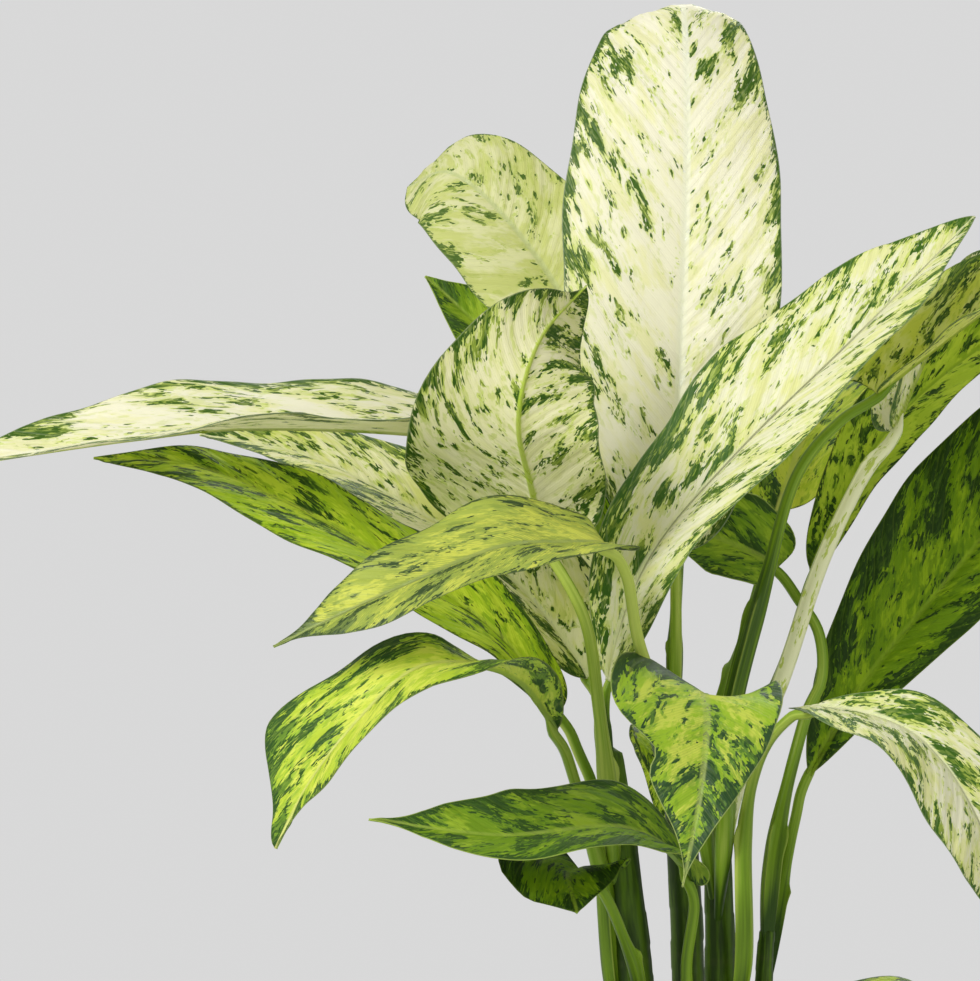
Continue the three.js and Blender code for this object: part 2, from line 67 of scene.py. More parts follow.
def srgb(red: int, green: int, blue: int) -> Triple:
    """The linear colour for 8-bit screen values.

    Args:
        red: The red part, from 0 to 255.
        green: The green part.
        blue: The blue part.

    Returns:
        The three parts, each from 0 to 1.
    """
    def linear(value: int) -> float:
        """One channel, by the sRGB curve."""
        share = value / 255
        return share / 12.92 if share <= 0.04045 else ((share + 0.055) / 1.055) ** 2.4

    return linear(red), linear(green), linear(blue)


def smoothstep(value: Array | float, low: float, high: float) -> Array:
    """A soft step from 0 at low to 1 at high.

    Args:
        value: Numbers to put through the step.
        low: Where the step begins.
        high: Where it ends, which may be below low for a falling step.

    Returns:
        The steps' values, from 0 to 1.
    """
    share = np.clip((np.asarray(value, float) - low) / (high - low), 0, 1)
    return share * share * (3 - 2 * share)


def bell(value: Array | float, middle: float | Array, width: float) -> Array:
    """A smooth bump that is 1 at the middle and fades to both sides over its width."""
    return np.exp(-(((value - middle) / width) ** 2))


def between(pair: Sequence[float], share: Array | float) -> Array:
    """The number a share of the way from the first of a pair to the second."""
    return pair[0] + (pair[1] - pair[0]) * np.asarray(share, float)


def eased(count: int, crowding: float) -> Array:
    """Places from 0 to 1, which stand closer together at both ends the greater crowding is."""
    even = np.linspace(0, 1, count)
    return even - crowding * np.sin(TURN * even) / TURN


def unit(vectors: Array) -> Array:
    """Vectors along the last axis, made one long."""
    return vectors / np.linalg.norm(vectors, axis=-1, keepdims=True)


def stacked(*parts: Array | float) -> Array:
    """Arrays spread over each other's shape, as the numbers of one vector at each place."""
    return np.stack(np.broadcast_arrays(*parts), axis=-1)


def circled(centre: Array, reach: Array, angle: Array, first: Array, second: Array) -> Array:
    """Rings of points about centres, at reaches and angles in the plane of two directions."""
    turned_to = np.cos(angle)[..., None] * first[:, None] + np.sin(angle)[..., None] * second[:, None]
    return centre[:, None] + reach[..., None] * turned_to


# ---------------------------------------------------------------- shader maths
class Value:
    """An output socket of a shader tree, for arithmetic with numbers and other values."""

    def __init__(self, tree: ShaderTree, socket: bpy.types.NodeSocket) -> None:
        """Wraps one socket of a tree."""
        self.tree = tree
        self.socket = socket

    def _maths(self, operation: str, first: Any, second: Any = None) -> Value:
        """A Math node on one or two values."""
        sockets = {0: first} if second is None else {0: first, 1: second}
        return self.tree.node("ShaderNodeMath", {"operation": operation}, sockets).out("Value")

    def __add__(self, other: Any) -> Value:
        """self + other."""
        return self._maths("ADD", self, other)

    __radd__ = __add__

    def __mul__(self, other: Any) -> Value:
        """self * other."""
        return self._maths("MULTIPLY", self, other)

    __rmul__ = __mul__

    def __sub__(self, other: Any) -> Value:
        """self - other."""
        return self._maths("SUBTRACT", self, other)

    def __rsub__(self, other: Any) -> Value:
        """other - self."""
        return self._maths("SUBTRACT", other, self)

    def __abs__(self) -> Value:
        """The value without its sign."""
        return self._maths("ABSOLUTE", self)

    def most(self, other: Any) -> Value:
        """The larger of two values."""
        return self._maths("MAXIMUM", self, other)

    def fading(self, reach: float) -> Value:
        """1 where the value is 0, halved over each reach."""
        return self._maths("POWER", 0.5, self * (1 / reach))

    def cosine(self) -> Value:
        """The cosine of the value, in radians."""
        return self._maths("COSINE", self)

    def step(self, low: float, high: float) -> Value:
        """A soft step from 0 at low to 1 at high, or a falling one where high is below low.

        Args:
            low: Where the step starts.
            high: Where it ends.

        Returns:
            A value from 0 to 1.
        """
        if low > high:
            return 1 - self.step(high, low)
        return self.tree.node(
            "ShaderNodeMapRange",
            {"interpolation_type": "SMOOTHSTEP"},
            {"Value": self, "From Min": low, "From Max": high},
        ).out("Result")


class ShaderNode:
    """A node that is already set, and its outputs as values."""

    def __init__(self, tree: ShaderTree, made: bpy.types.ShaderNode) -> None:
        """Wraps one node of a tree."""
        self.tree = tree
        self.made = made

    def out(self, name: str | int) -> Value:
        """The output of that name or place."""
        return Value(self.tree, self.made.outputs[name])


class ShaderTree:
    """The node tree of one new material or of the world."""

    def __init__(self, name: str, holder: Material | bpy.types.World | None = None) -> None:
        """Empties the holder's tree, or that of a new material of that name.

        Args:
            name: The name of a new material.
            holder: What holds the tree, if it is there already.
        """
        self.holder = holder or bpy.data.materials.new(name)
        self.holder.use_nodes = True
        self.holder.node_tree.nodes.clear()

    def node(
        self, kind: str, settings: Mapping[str, Any] | None = None, sockets: Mapping[Any, Any] | None = None
    ) -> ShaderNode:
        """Adds a node.

        Args:
            kind: The node's Blender type.
            settings: Its own settings, which are set before its sockets.
            sockets: For each input, by name or place, a number, a colour or a Value to link.

        Returns:
            The node.
        """
        made = self.holder.node_tree.nodes.new(kind)
        for key, value in (settings or {}).items():
            setattr(made, key, value)
        for key, value in (sockets or {}).items():
            socket = made.inputs[key]
            if isinstance(value, Value):
                self.holder.node_tree.links.new(value.socket, socket)
            elif socket.type == "RGBA":
                socket.default_value = (*value[:3], 1.0)
            else:
                socket.default_value = value
        return ShaderNode(self, made)

    def attribute(self, name: str) -> Value:
        """A vector that the mesh carries at its points."""
        return self.node("ShaderNodeAttribute", {"attribute_name": name}).out("Vector")

    def position(self, units: float = 1.0) -> Value:
        """The point in the object's own space, in so many units to a metre."""
        place = self.node("ShaderNodeTexCoord").out("Object")
        return place if units == 1.0 else self.scaled(place, (units, units, units))

    def split(self, vector: Value) -> tuple[Value, Value, Value]:
        """The three numbers of a vector."""
        parts = self.node("ShaderNodeSeparateXYZ", None, {"Vector": vector})
        return parts.out("X"), parts.out("Y"), parts.out("Z")

    def scaled(self, vector: Value, factors: Triple) -> Value:
        """A vector with each of its numbers multiplied."""
        return self.node("ShaderNodeVectorMath", {"operation": "MULTIPLY"}, {0: vector, 1: factors}).out("Vector")

    def moved(self, vector: Value, other: Value | Triple) -> Value:
        """The sum of two vectors."""
        return self.node("ShaderNodeVectorMath", {"operation": "ADD"}, {0: vector, 1: other}).out("Vector")

    def cloud(
        self, vector: Value, scale: float | Triple, detail: float = 2.0, rough: float = 0.5, output: str = "Fac"
    ) -> Value:
        """Noise between 0 and 1, and mostly near 0.5.

        Args:
            vector: Where the noise is read.
            scale: How many of its lumps there are to one unit, alike or different along the axes.
            detail: How many finer layers it has.
            rough: How strong those layers are.
            output: Fac for one number, or Color for three.

        Returns:
            The noise.
        """
        if not isinstance(scale, float):
            vector, scale = self.scaled(vector, scale), 1.0
        sockets = {"Vector": vector, "Scale": scale, "Detail": detail, "Roughness": rough}
        return self.node("ShaderNodeTexNoise", {"noise_dimensions": "3D"}, sockets).out(output)

    def blend(self, share: Value | float, first: Any, second: Any) -> Value:
        """A colour between two colours, which is the first where share is 0."""
        settings = {"data_type": "RGBA", "blend_type": "MIX", "clamp_factor": True}
        return self.node("ShaderNodeMix", settings, {0: share, 6: first, 7: second}).out(2)

    def finish(
        self, colour: Value, roughness: Value | float, gloss: float, height: Value | None = None,
        relief: float = 0.0, glow: Value | None = None, glow_colour: Triple = (0.0, 0.0, 0.0),
    ) -> Material:
        """Ends the tree in a Principled shader, and in part in a Translucent one.

        Args:
            colour: The base colour.
            roughness: How dull it is, from 0 to 1.
            gloss: The Principled shader's specular level.
            height: What stands out, from 0 to 1, for a bump.
            relief: How far that stands out, in metres.
            glow: The share of light that comes through from the other side.
            glow_colour: The one colour of that light.

        Returns:
            The material.
        """
        sockets = {"Base Color": colour, "Roughness": roughness, "Specular IOR Level": gloss}
        if height is not None:
            bump = self.node("ShaderNodeBump", None, {"Height": height, "Distance": relief, "Strength": 1.0})
            sockets["Normal"] = bump.out("Normal")
        surface = self.node("ShaderNodeBsdfPrincipled", None, sockets).out("BSDF")
        if glow is not None:
            through = self.node("ShaderNodeBsdfTranslucent", None, {"Color": glow_colour}).out("BSDF")
            surface = self.node("ShaderNodeMixShader", None, {0: glow, 1: surface, 2: through}).out("Shader")
        self.node("ShaderNodeOutputMaterial", None, {"Surface": surface})
        return self.holder


# ---------------------------------------------------------------- finishes
@dataclass(frozen=True)
class BladeFinish:
    """The colouring of one kind of blade: a pale ground, clouds of tint, and dark flecks along the veins."""

    name: str
    slot: str
    ground: Triple
    tint: Triple
    halo: Triple
    fleck: Triple
    # rib_top is the midrib's pale colour, also used for the painted sheen along the margin
    rib_top: Triple
    rib_under: Triple
    under_wash: Triple
    tint_level: float = 0.5
    cover: float = 0.0
    margin_cover: float = 0.1
    tip_cover: float = 0.06
    band: float = 2.4
    streaks: float = 0.05
    blots: float = 0.5
    mottling: float = 0.2
    stretch: float = 0.8
    grain: float = 0.085
    vein_share: float = 0.06
    hair_share: float = 0.0
    rib_top_share: float = 0.8
    rib_girth: float = 1.0
    # how strong the painted sheen is: a thin pale line along the margin, where the edge catches the light
    margin_sheen_share: float = 0.15
    under_share: float = 0.35
    roughness: float = 0.42
    gloss: float = 0.18
    glow: float = 0.32

    def material(self) -> Material:
        """Builds the node material that every blade with this finish shares.

        Returns:
            The material. It reads the vectors blade_vein, blade_place and blade_grid of the mesh.
        """
        tree = ShaderTree(f"blade_{self.name}")
        pattern = BladePattern(tree, self)
        masked = pattern.dark.most(pattern.hazy * 0.5)
        return tree.finish(
            pattern.colour(), pattern.roughness(), self.gloss, pattern.height(), BladePattern.RELIEF,
            (1 - masked) * self.glow, tuple((bright + dull) / 2 for bright, dull in zip(self.ground, self.tint)),
        )


class BladePattern:
    """The flecks, clouds and veins of a blade's two sides, as values of its shader tree.

    Scales are the lumps of a cloud to a millimetre out from the midrib and along it, and its step from
    leaf to leaf. Edges are the levels between which a cloud turns into a mark. Reaches and pitches are
    millimetres.
    """

    WANDER, CROWD, CLOUDS = (0.06, 0.08, 1.0), (0.03, 0.04, 1.0), (0.05, 0.07, 1.0)
    THREADS, GRAIN, SHINE = (0.1, 0.7, 1.0), (0.9, 1.2, 1.0), (0.06, 0.1, 1.0)
    SPECKS, BLOTS, MOTTLE = (0.16, 0.16, 1.0), (0.18, 0.18, 1.0), (0.38, 0.38, 1.0)
    EDGING, LIGHTS = (0.07, 0.07, 2.0), (0.1, 0.1, 3.0)
    CELLS = (0.6, 0.72)
    RAGGED = 1.2
    BEND = 9.0
    BLOT_SHIFT = (31.0, 17.0, 5.0)
    FLECK_EDGE, SPECK_EDGE = (0.63, 0.648), (0.68, 0.7)
    FLECK_HAZE, SPECK_HAZE = (0.58, 0.63), (0.62, 0.67)
    BLOT_EDGE, BAND_EDGE = (0.59, 0.65), (0.5, -0.3)
    CROWDING = 0.45
    MARGIN_REACH, TIP_REACH, TINT_REACH = 6.0, 12.0, 9.0
    BAND_SPREAD = 2.6
    VEIN_PITCH, HAIR_PITCH = 7.5, 1.7
    RIB_TOP_HALF, RIB_UNDER_HALF = (2.4, 1.6), (1.8, 1.3)
    RELIEF = 0.0006

    def __init__(self, tree: ShaderTree, finish: BladeFinish) -> None:
        """Reads the mesh's vectors and lays out the pattern's marks.

        Args:
            tree: The tree that the nodes go into.
            finish: The finish that the pattern belongs to.
        """
        self.tree, self.finish = tree, finish
        self.vein = tree.attribute("blade_vein")
        self.margin, self.tip, side = tree.split(tree.attribute("blade_place"))
        self.across, self.extra, self.share = tree.split(tree.attribute("blade_grid"))
        _, self.row, _ = tree.split(self.vein)
        self.under = side.step(0.2, -0.2)
        self.bent, self.ragged = self.bending()
        self.crowd = tree.cloud(self.vein, self.CROWD, 1.0)
        self.crowding, self.dark, self.hazy, self.band = self.marks()
        self.fine = tree.cloud(self.bent, self.THREADS, rough=0.6)
        self.mottle = tree.cloud(self.ragged, self.MOTTLE)
        self.lines = (self.row * (TURN / self.VEIN_PITCH) + (self.crowd - 0.5) * 9.0).cosine()
        self.hairs = (self.row * (TURN / self.HAIR_PITCH) + self.crowd * 11.0).cosine()

    def bending(self) -> tuple[Value, Value]:
        """The place on the blade, bent a little, and the same drawn towards small cells for ragged marks.

        Returns:
            The bent place and the ragged one.
        """
        tree = self.tree
        wander = tree.cloud(self.vein, self.WANDER, 1.0, output="Color")
        drift = tree.scaled(tree.moved(wander, (-0.5, -0.5, -0.5)), (self.BEND, self.BEND, 0.0))
        bent = tree.moved(self.vein, drift)
        wide, long = self.CELLS
        cells = tree.node(
            "ShaderNodeTexVoronoi", {"feature": "F1"}, {"Vector": tree.scaled(bent, (wide, long, 1.0)), "Scale": 1.0}
        ).out("Position")
        blocky = tree.scaled(cells, (self.RAGGED / wide, self.RAGGED / long, 1.0))
        whole = 1 + self.RAGGED
        return bent, tree.scaled(tree.moved(blocky, bent), (1 / whole, self.finish.stretch / whole, 0.5))

    def marks(self) -> tuple[Value, Value, Value, Value]:
        """How crowded the flecks are, the dark flecks, the haze round them, and the band along the margin.

        Returns:
            The four values, in that order.
        """
        tree, kind = self.tree, self.finish
        crowding = (self.crowd - 0.5) * self.CROWDING + self.extra + kind.cover
        crowding = crowding + self.margin.fading(self.MARGIN_REACH) * kind.margin_cover
        crowding = crowding + self.tip.fading(self.TIP_REACH) * kind.tip_cover
        large = tree.cloud(self.ragged, (kind.grain, kind.grain, 1.0), 1.9, 0.55) + crowding
        small = tree.cloud(self.ragged, self.SPECKS, 1.0) + crowding * 0.8
        dark = large.step(*self.FLECK_EDGE).most(small.step(*self.SPECK_EDGE))
        hazy = large.step(*self.FLECK_HAZE).most(small.step(*self.SPECK_HAZE))
        edging = tree.cloud(self.ragged, self.EDGING, 3.0, 0.6) + self.extra
        reach = edging.step(0.4, 0.75) * (self.BAND_SPREAD * kind.band)
        band = (self.margin - reach).step(*self.BAND_EDGE)
        return crowding, dark.most(band), hazy, band

    def ground(self) -> Value:
        """The colour between the flecks: ground and tint, washed below, with pale streaks, blots and hairs.

        Returns:
            The colour.
        """
        tree, kind = self.tree, self.finish
        cloudy = tree.cloud(self.bent, self.CLOUDS, 3.0, 0.6)
        tinted = cloudy + (self.fine - 0.5) * 0.06 + (self.mottle - 0.5) * kind.mottling
        tinted = tinted + self.margin.fading(self.TINT_REACH) * 0.12
        colour = tree.blend(tinted.step(kind.tint_level - 0.06, kind.tint_level + 0.12), kind.ground, kind.tint)
        colour = tree.blend(self.under * kind.under_share, colour, kind.under_wash)
        colour = tree.blend(self.fine.step(0.55, 0.75) * kind.streaks, colour, kind.halo)
        blots = tree.cloud(tree.moved(self.ragged, self.BLOT_SHIFT), self.BLOTS, 1.5)
        colour = tree.blend((blots + self.crowding * 0.5).step(*self.BLOT_EDGE) * kind.blots, colour, kind.halo)
        hairs = self.hairs.step(0.0, 0.9) * self.crowd.step(0.4, 0.52)
        return tree.blend(hairs * kind.hair_share, colour, kind.halo)

    def colour(self) -> Value:
        """The whole colour: the ground, then haze, flecks, side veins, the midrib and a painted sheen along the
        margin.

        Returns:
            The colour.
        """
        tree, kind = self.tree, self.finish
        colour = tree.blend(self.hazy * 0.8, self.ground(), kind.halo)
        light = tree.cloud(self.ragged, self.LIGHTS, 1.0).step(0.52, 0.64) * 0.4
        fleck = tree.blend(light * (1 - self.band), kind.fleck, kind.halo)
        colour = tree.blend(self.dark * (self.mottle.step(0.3, 0.5) * 0.2 + 0.8), colour, fleck)
        colour = tree.blend(self.lines.step(0.86, 1.0) * kind.vein_share, colour, kind.rib_top)
        foot, taper = self.RIB_TOP_HALF
        top_rib = (abs(self.across) - (foot - self.share * taper) * kind.rib_girth).step(0.6, -0.6)
        colour = tree.blend(top_rib * (1 - self.under) * kind.rib_top_share, colour, kind.rib_top)
        foot, taper = self.RIB_UNDER_HALF
        under_rib = (abs(self.across) - (foot - self.share * taper)).step(0.5, -0.4) * self.under
        colour = tree.blend(under_rib * 0.9, colour, kind.rib_under)
        # painted sheen: a thin pale line in the midrib's colour along the margin, where the edge catches the light
        return tree.blend(self.margin.step(0.55, 0.2) * kind.margin_sheen_share, colour, kind.rib_top)

    def height(self) -> Value:
        """What stands out a little: the fields between veins, hairs, grain, and all that isn't dark.

        Returns:
            The height, for the bump.
        """
        grain = self.tree.cloud(self.vein, self.GRAIN)
        fields = (1 - self.lines.step(-0.7, 1.0)) * 0.35
        return fields + self.hairs * 0.04 + grain * 0.22 + (1 - self.dark) * 0.05

    def roughness(self) -> Value:
        """How dull the blade is: uneven, and duller below."""
        shine = self.tree.cloud(self.vein, self.SHINE)
        return (shine - 0.5) * 0.25 + self.under * 0.12 + self.finish.roughness


CREAM = BladeFinish(
    "cream", "leaf_cream", ground=srgb(250, 247, 226), tint=srgb(242, 241, 192), halo=srgb(202, 216, 104),
    fleck=srgb(59, 92, 20), rib_top=srgb(250, 250, 228), rib_under=srgb(166, 186, 60),
    under_wash=srgb(252, 250, 206), under_share=0.6, cover=-0.02, margin_cover=0.15, band=2.2, rib_girth=1.5,
    streaks=0.0, blots=0.4, tint_level=0.53,
)
BOLD = BladeFinish(
    "bold", "leaf_cream", ground=srgb(253, 251, 226), tint=srgb(244, 245, 180), halo=srgb(204, 220, 92),
    fleck=srgb(58, 97, 22), rib_top=srgb(244, 246, 196), rib_under=srgb(166, 186, 60),
    under_wash=srgb(238, 240, 176), cover=0.015, band=2.0, stretch=0.9, rib_top_share=0.7, rib_girth=1.2,
    streaks=0.0, tint_level=0.52,
)
TROUGH = BladeFinish(
    "trough", "leaf_cream", ground=srgb(248, 250, 172), tint=srgb(228, 236, 104), halo=srgb(184, 206, 64),
    fleck=srgb(58, 92, 25), rib_top=srgb(236, 242, 140), rib_under=srgb(160, 184, 56),
    under_wash=srgb(240, 244, 130), under_share=0.7, cover=0.03, margin_cover=0.12, band=3.4, stretch=1.2,
    glow=0.4,
)
SPECKLED = BladeFinish(
    "speckled", "leaf_cream", ground=srgb(244, 242, 198), tint=srgb(226, 230, 140), halo=srgb(184, 202, 78),
    fleck=srgb(50, 83, 18), rib_top=srgb(236, 238, 182), rib_under=srgb(172, 196, 66),
    under_wash=srgb(242, 238, 200), under_share=0.6, cover=0.035, band=3.0, stretch=1.0, grain=0.08,
    roughness=0.5, gloss=0.1,
)
FADED = BladeFinish(
    "faded", "leaf_cream", ground=srgb(234, 234, 184), tint=srgb(212, 218, 138), halo=srgb(186, 200, 100),
    fleck=srgb(74, 101, 38), rib_top=srgb(206, 214, 156), rib_under=srgb(172, 196, 66),
    under_wash=srgb(242, 238, 200), under_share=0.6, cover=-0.02, margin_cover=0.06, band=1.3, tint_level=0.49,
    roughness=0.5, gloss=0.1,
)
LIME = BladeFinish(
    "lime", "leaf_lime", ground=srgb(226, 230, 100), tint=srgb(182, 196, 88), halo=srgb(146, 166, 78),
    fleck=srgb(56, 76, 40), rib_top=srgb(160, 174, 100), rib_under=srgb(160, 188, 86),
    under_wash=srgb(174, 196, 98), cover=0.005, margin_cover=0.06, band=1.3, streaks=0.3, tip_cover=0.5,
    vein_share=0.2, hair_share=0.6, tint_level=0.48, stretch=0.6, grain=0.12, blots=0.7, mottling=0.7,
)
ARCHED = BladeFinish(
    "arched", "leaf_lime", ground=srgb(240, 246, 104), tint=srgb(202, 224, 70), halo=srgb(144, 184, 56),
    fleck=srgb(47, 81, 27), rib_top=srgb(230, 234, 132), rib_under=srgb(160, 188, 86),
    under_wash=srgb(168, 194, 92), cover=0.025, margin_cover=0.09, band=1.6, tip_cover=0.3, mottling=0.45,
)
BRIGHT = BladeFinish(
    "bright", "leaf_lime", ground=srgb(218, 234, 70), tint=srgb(180, 208, 46), halo=srgb(126, 166, 36),
    fleck=srgb(45, 74, 18), rib_top=srgb(190, 208, 80), rib_under=srgb(160, 188, 60),
    under_wash=srgb(212, 226, 84), under_share=0.5, margin_cover=0.07, band=1.2, rib_top_share=0.45, grain=0.11,
    roughness=0.52, gloss=0.1, glow=0.38, mottling=0.65, blots=0.7,
)
DEEP = BladeFinish(
    "deep", "leaf_deep", ground=srgb(164, 196, 34), tint=srgb(122, 158, 24), halo=srgb(84, 120, 20),
    fleck=srgb(36, 61, 13), rib_top=srgb(172, 200, 60), rib_under=srgb(150, 180, 70),
    under_wash=srgb(140, 168, 56), cover=0.05, margin_cover=0.14, tint_level=0.42, rib_top_share=0.4,
    stretch=1.0, grain=0.07, roughness=0.5, gloss=0.1, mottling=0.45,
)
HEART = BladeFinish(
    "heart", "leaf_lime", ground=srgb(216, 226, 92), tint=srgb(166, 200, 52), halo=srgb(112, 154, 46),
    fleck=srgb(43, 72, 34), rib_top=srgb(190, 204, 112), rib_under=srgb(150, 178, 96),
    under_wash=srgb(142, 170, 98), cover=0.012, margin_cover=0.14, band=3.2, tip_cover=0.1, rib_top_share=0.4,
    margin_sheen_share=0.5, stretch=0.95, mottling=0.5, hair_share=0.25,
)
FOREST = BladeFinish(
    "forest", "leaf_deep", ground=srgb(176, 204, 60), tint=srgb(132, 168, 42), halo=srgb(92, 130, 38),
    fleck=srgb(52, 81, 31), rib_top=srgb(182, 204, 88), rib_under=srgb(140, 168, 84),
    under_wash=srgb(142, 170, 68), cover=0.02, margin_cover=0.12, tint_level=0.47, rib_top_share=0.5,
    margin_sheen_share=0.5, stretch=0.9, roughness=0.48, gloss=0.15, mottling=0.45,
)


@dataclass(frozen=True)
class StalkFinish:
    """The skin of stalks: green, streaked and mottled with cream along its length."""

    green: Triple = srgb(120, 154, 32)
    deep: Triple = srgb(52, 82, 10)
    pale: Triple = srgb(194, 210, 96)
    cream: Triple = srgb(251, 251, 208)
    roughness: float = 0.34
    gloss: float = 0.22
    relief: float = 0.0002

    def material(self) -> Material:
        """Builds the material. It reads the vectors stalk_place and stalk_look of the mesh.

        Returns:
            The finished material.
        """
        tree = ShaderTree("stalk_skin")
        place = tree.attribute("stalk_place")
        pale, mottle, edge = tree.split(tree.attribute("stalk_look"))
        long = tree.cloud(place, (0.16, 0.16, 0.008))
        fine = tree.cloud(place, (0.9, 0.9, 0.02))
        spots = tree.cloud(place, (0.3, 0.3, 0.08), 3.0, 0.65)
        tone = (long - 0.5) * 1.2 + (fine - 0.5) * 0.35 + pale
        colour = tree.blend(tone.step(-0.15, 0.32), self.deep, self.green)
        colour = tree.blend(tone.step(0.25, 0.85), colour, self.pale)
        colour = tree.blend((spots + (mottle - 0.5) * 0.3).step(0.5, 0.57) * mottle, colour, self.cream)
        colour = tree.blend(edge.step(0.4, 1.0) * 0.35, colour, self.pale)
        dull = (spots - 0.5) * 0.2 + self.roughness
        return tree.finish(colour, dull, self.gloss, fine * 0.7 + spots * 0.3, self.relief)


@dataclass(frozen=True)
class CaneFinish:
    """The skin of a cane: green and smooth above, corky and tan at its foot and at the rings there."""

    green: Triple = srgb(84, 116, 14)
    deep: Triple = srgb(42, 66, 6)
    cork: Triple = srgb(126, 112, 74)
    scar: Triple = srgb(140, 134, 88)
    roughness: float = 0.4
    gloss: float = 0.22
    relief: float = 0.0006

    def material(self) -> Material:
        """Builds the material. It reads the vectors stalk_place and stalk_look of the mesh.

        Returns:
            The finished material.
        """
        tree = ShaderTree("cane_skin")
        place = tree.attribute("stalk_place")
        age, scar, _ = tree.split(tree.attribute("stalk_look"))
        streaks = tree.cloud(place, (0.2, 0.2, 0.02), 3.0, 0.55)
        fine = tree.cloud(place, 0.8, 3.0, 0.6)
        colour = tree.blend(streaks.step(0.38, 0.64), self.deep, self.green)
        colour = tree.blend((age * 1.1 + streaks - 0.85).step(0.0, 0.6) * 0.8, colour, self.cork)
        colour = tree.blend(scar * (fine.step(0.3, 0.6) * 0.4 + 0.35), colour, self.scar)
        dull = (fine - 0.5) * 0.2 + age * 0.25 + self.roughness
        return tree.finish(colour, dull, self.gloss, streaks * 0.5 + fine * age, self.relief)


@dataclass(frozen=True)
class CrumbFinish:
    """A rough, dry, speckled finish for compost, bark and perlite."""

    name: str
    low: Triple
    high: Triple
    size: float
    roughness: float = 0.9
    gloss: float = 0.2
    relief: float = 0.0012

    def material(self) -> Material:
        """Builds the material from clouds of two sizes.

        Returns:
            The finished material.
        """
        tree = ShaderTree(self.name)
        place = tree.position(1 / MM)
        coarse = tree.cloud(place, 1 / self.size, 4.0, 0.65)
        fine = tree.cloud(place, 6 / self.size, 2.0, 0.6)
        colour = tree.blend((coarse * 0.6 + fine * 0.4).step(0.36, 0.66), self.low, self.high)
        dull = (fine - 0.5) * 0.15 + self.roughness
        return tree.finish(colour, dull, self.gloss, coarse + fine * 0.5, self.relief)


@dataclass(frozen=True)
class PotFinish:
    """A matt, pale, slightly mottled fired clay."""

    clay: Triple = srgb(214, 211, 203)
    shade: Triple = srgb(206, 202, 193)
    speck: Triple = srgb(150, 142, 128)
    roughness: float = 0.62
    gloss: float = 0.35
    relief: float = 0.0004

    def material(self) -> Material:
        """Builds the material: soft clouds, rare specks and faint turning marks.

        Returns:
            The finished material.
        """
        tree = ShaderTree("pot_clay")
        place = tree.position(1 / MM)
        _, _, height = tree.split(place)
        clouds = tree.cloud(place, 0.02, 3.0)
        grain = tree.cloud(place, 0.7, 3.0, 0.6)
        specks = tree.cloud(place, 0.55, 1.0).step(0.70, 0.76)
        colour = tree.blend(clouds.step(0.4, 0.62), self.clay, self.shade)
        colour = tree.blend(specks * 0.7, colour, self.speck)
        marks = (height * 2.2 + clouds * 5.0).cosine()
        dull = (grain - 0.5) * 0.2 + self.roughness
        return tree.finish(colour, dull, self.gloss, grain * 0.5 + marks * 0.12, self.relief)


@dataclass(frozen=True)
class FloorFinish:
    """A plain pale floor."""

    colour: Triple = srgb(219, 219, 218)
    shade: float = 0.97
    roughness: float = 0.85
    gloss: float = 0.2

    def material(self) -> Material:
        """Builds the material, with a faint cloudiness.

        Returns:
            The finished material.
        """
        tree = ShaderTree("studio_floor")
        clouds = tree.cloud(tree.position(), 1.5)
        colour = tree.blend(clouds, self.colour, tuple(self.shade * part for part in self.colour))
        return tree.finish(colour, self.roughness, self.gloss)


# ---------------------------------------------------------------- the plant's plan
class Stem(Enum):
    """The canes that leaves grow from, as part of their nodes' names."""

    LEFT = "left"
    BACK = "back"
    FRONT = "front"
    RIGHT = "right"


@dataclass(frozen=True)
class CanePlan:
    """One cane: points on its axis from the soil up, and its radius at each."""

    stem: Stem
    axis: tuple[Triple, ...]
    radius: tuple[float, ...]


@dataclass(frozen=True)
class LeafPlan:
    """One leaf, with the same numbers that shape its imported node, and what only the finish needs.

    stalk and rib are the points that the stalk and the midrib pass. face is where the upper side looks
    at the base and the tip. half is the widest half breadth, left and right. outline is how fast the
    halves widen and narrow. fold, curl, wave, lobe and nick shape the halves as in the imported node.
    slope is how far the side veins lean towards the tip, left and right. patches are spots where more of
    the blade is dark: the share along it, from -1 to 1 across it, their reach and their strength, below
    0 where less is dark.
    """

    name: str
    stem: Stem
    stalk: tuple[Triple, ...]
    rib: tuple[Triple, ...]
    face: tuple[Triple, Triple]
    half: Pair
    wave: Triple
    girth: float = 5.0
    outline: Pair = (0.5, 0.8)
    fold: Pair = (24, 12)
    curl: float = 16
    lobe: float = 6
    nick: Triple | None = None
    left_outline: Pair | None = None
    left_lobe: float | None = None
    finish: BladeFinish = CREAM
    pale: float = 0.15
    mottle: float = 0.0
    sheath: float = 0.5
    cusp: float = 0.25
    slope: Pair = (1.0, 1.0)
    patches: tuple[tuple[float, float, float, float], ...] = ()

    @property
    def seed(self) -> float:
        """A number of its own for the leaf's pattern, from its name."""
        return sum((place + 1) * ord(letter) for place, letter in enumerate(self.name)) % 97 * 1.37

    def half_shape(self, left: bool) -> tuple[Pair, float, Triple | None]:
        """The outline, lobe and nick of the left or the right half.

        Args:
            left: Whether it is the left half.

        Returns:
            The outline, the lobe, and the nick if there is one.
        """
        if not left or self.left_outline is None:
            return self.outline, self.lobe, self.nick
        return self.left_outline, self.lobe if self.left_lobe is None else self.left_lobe, None


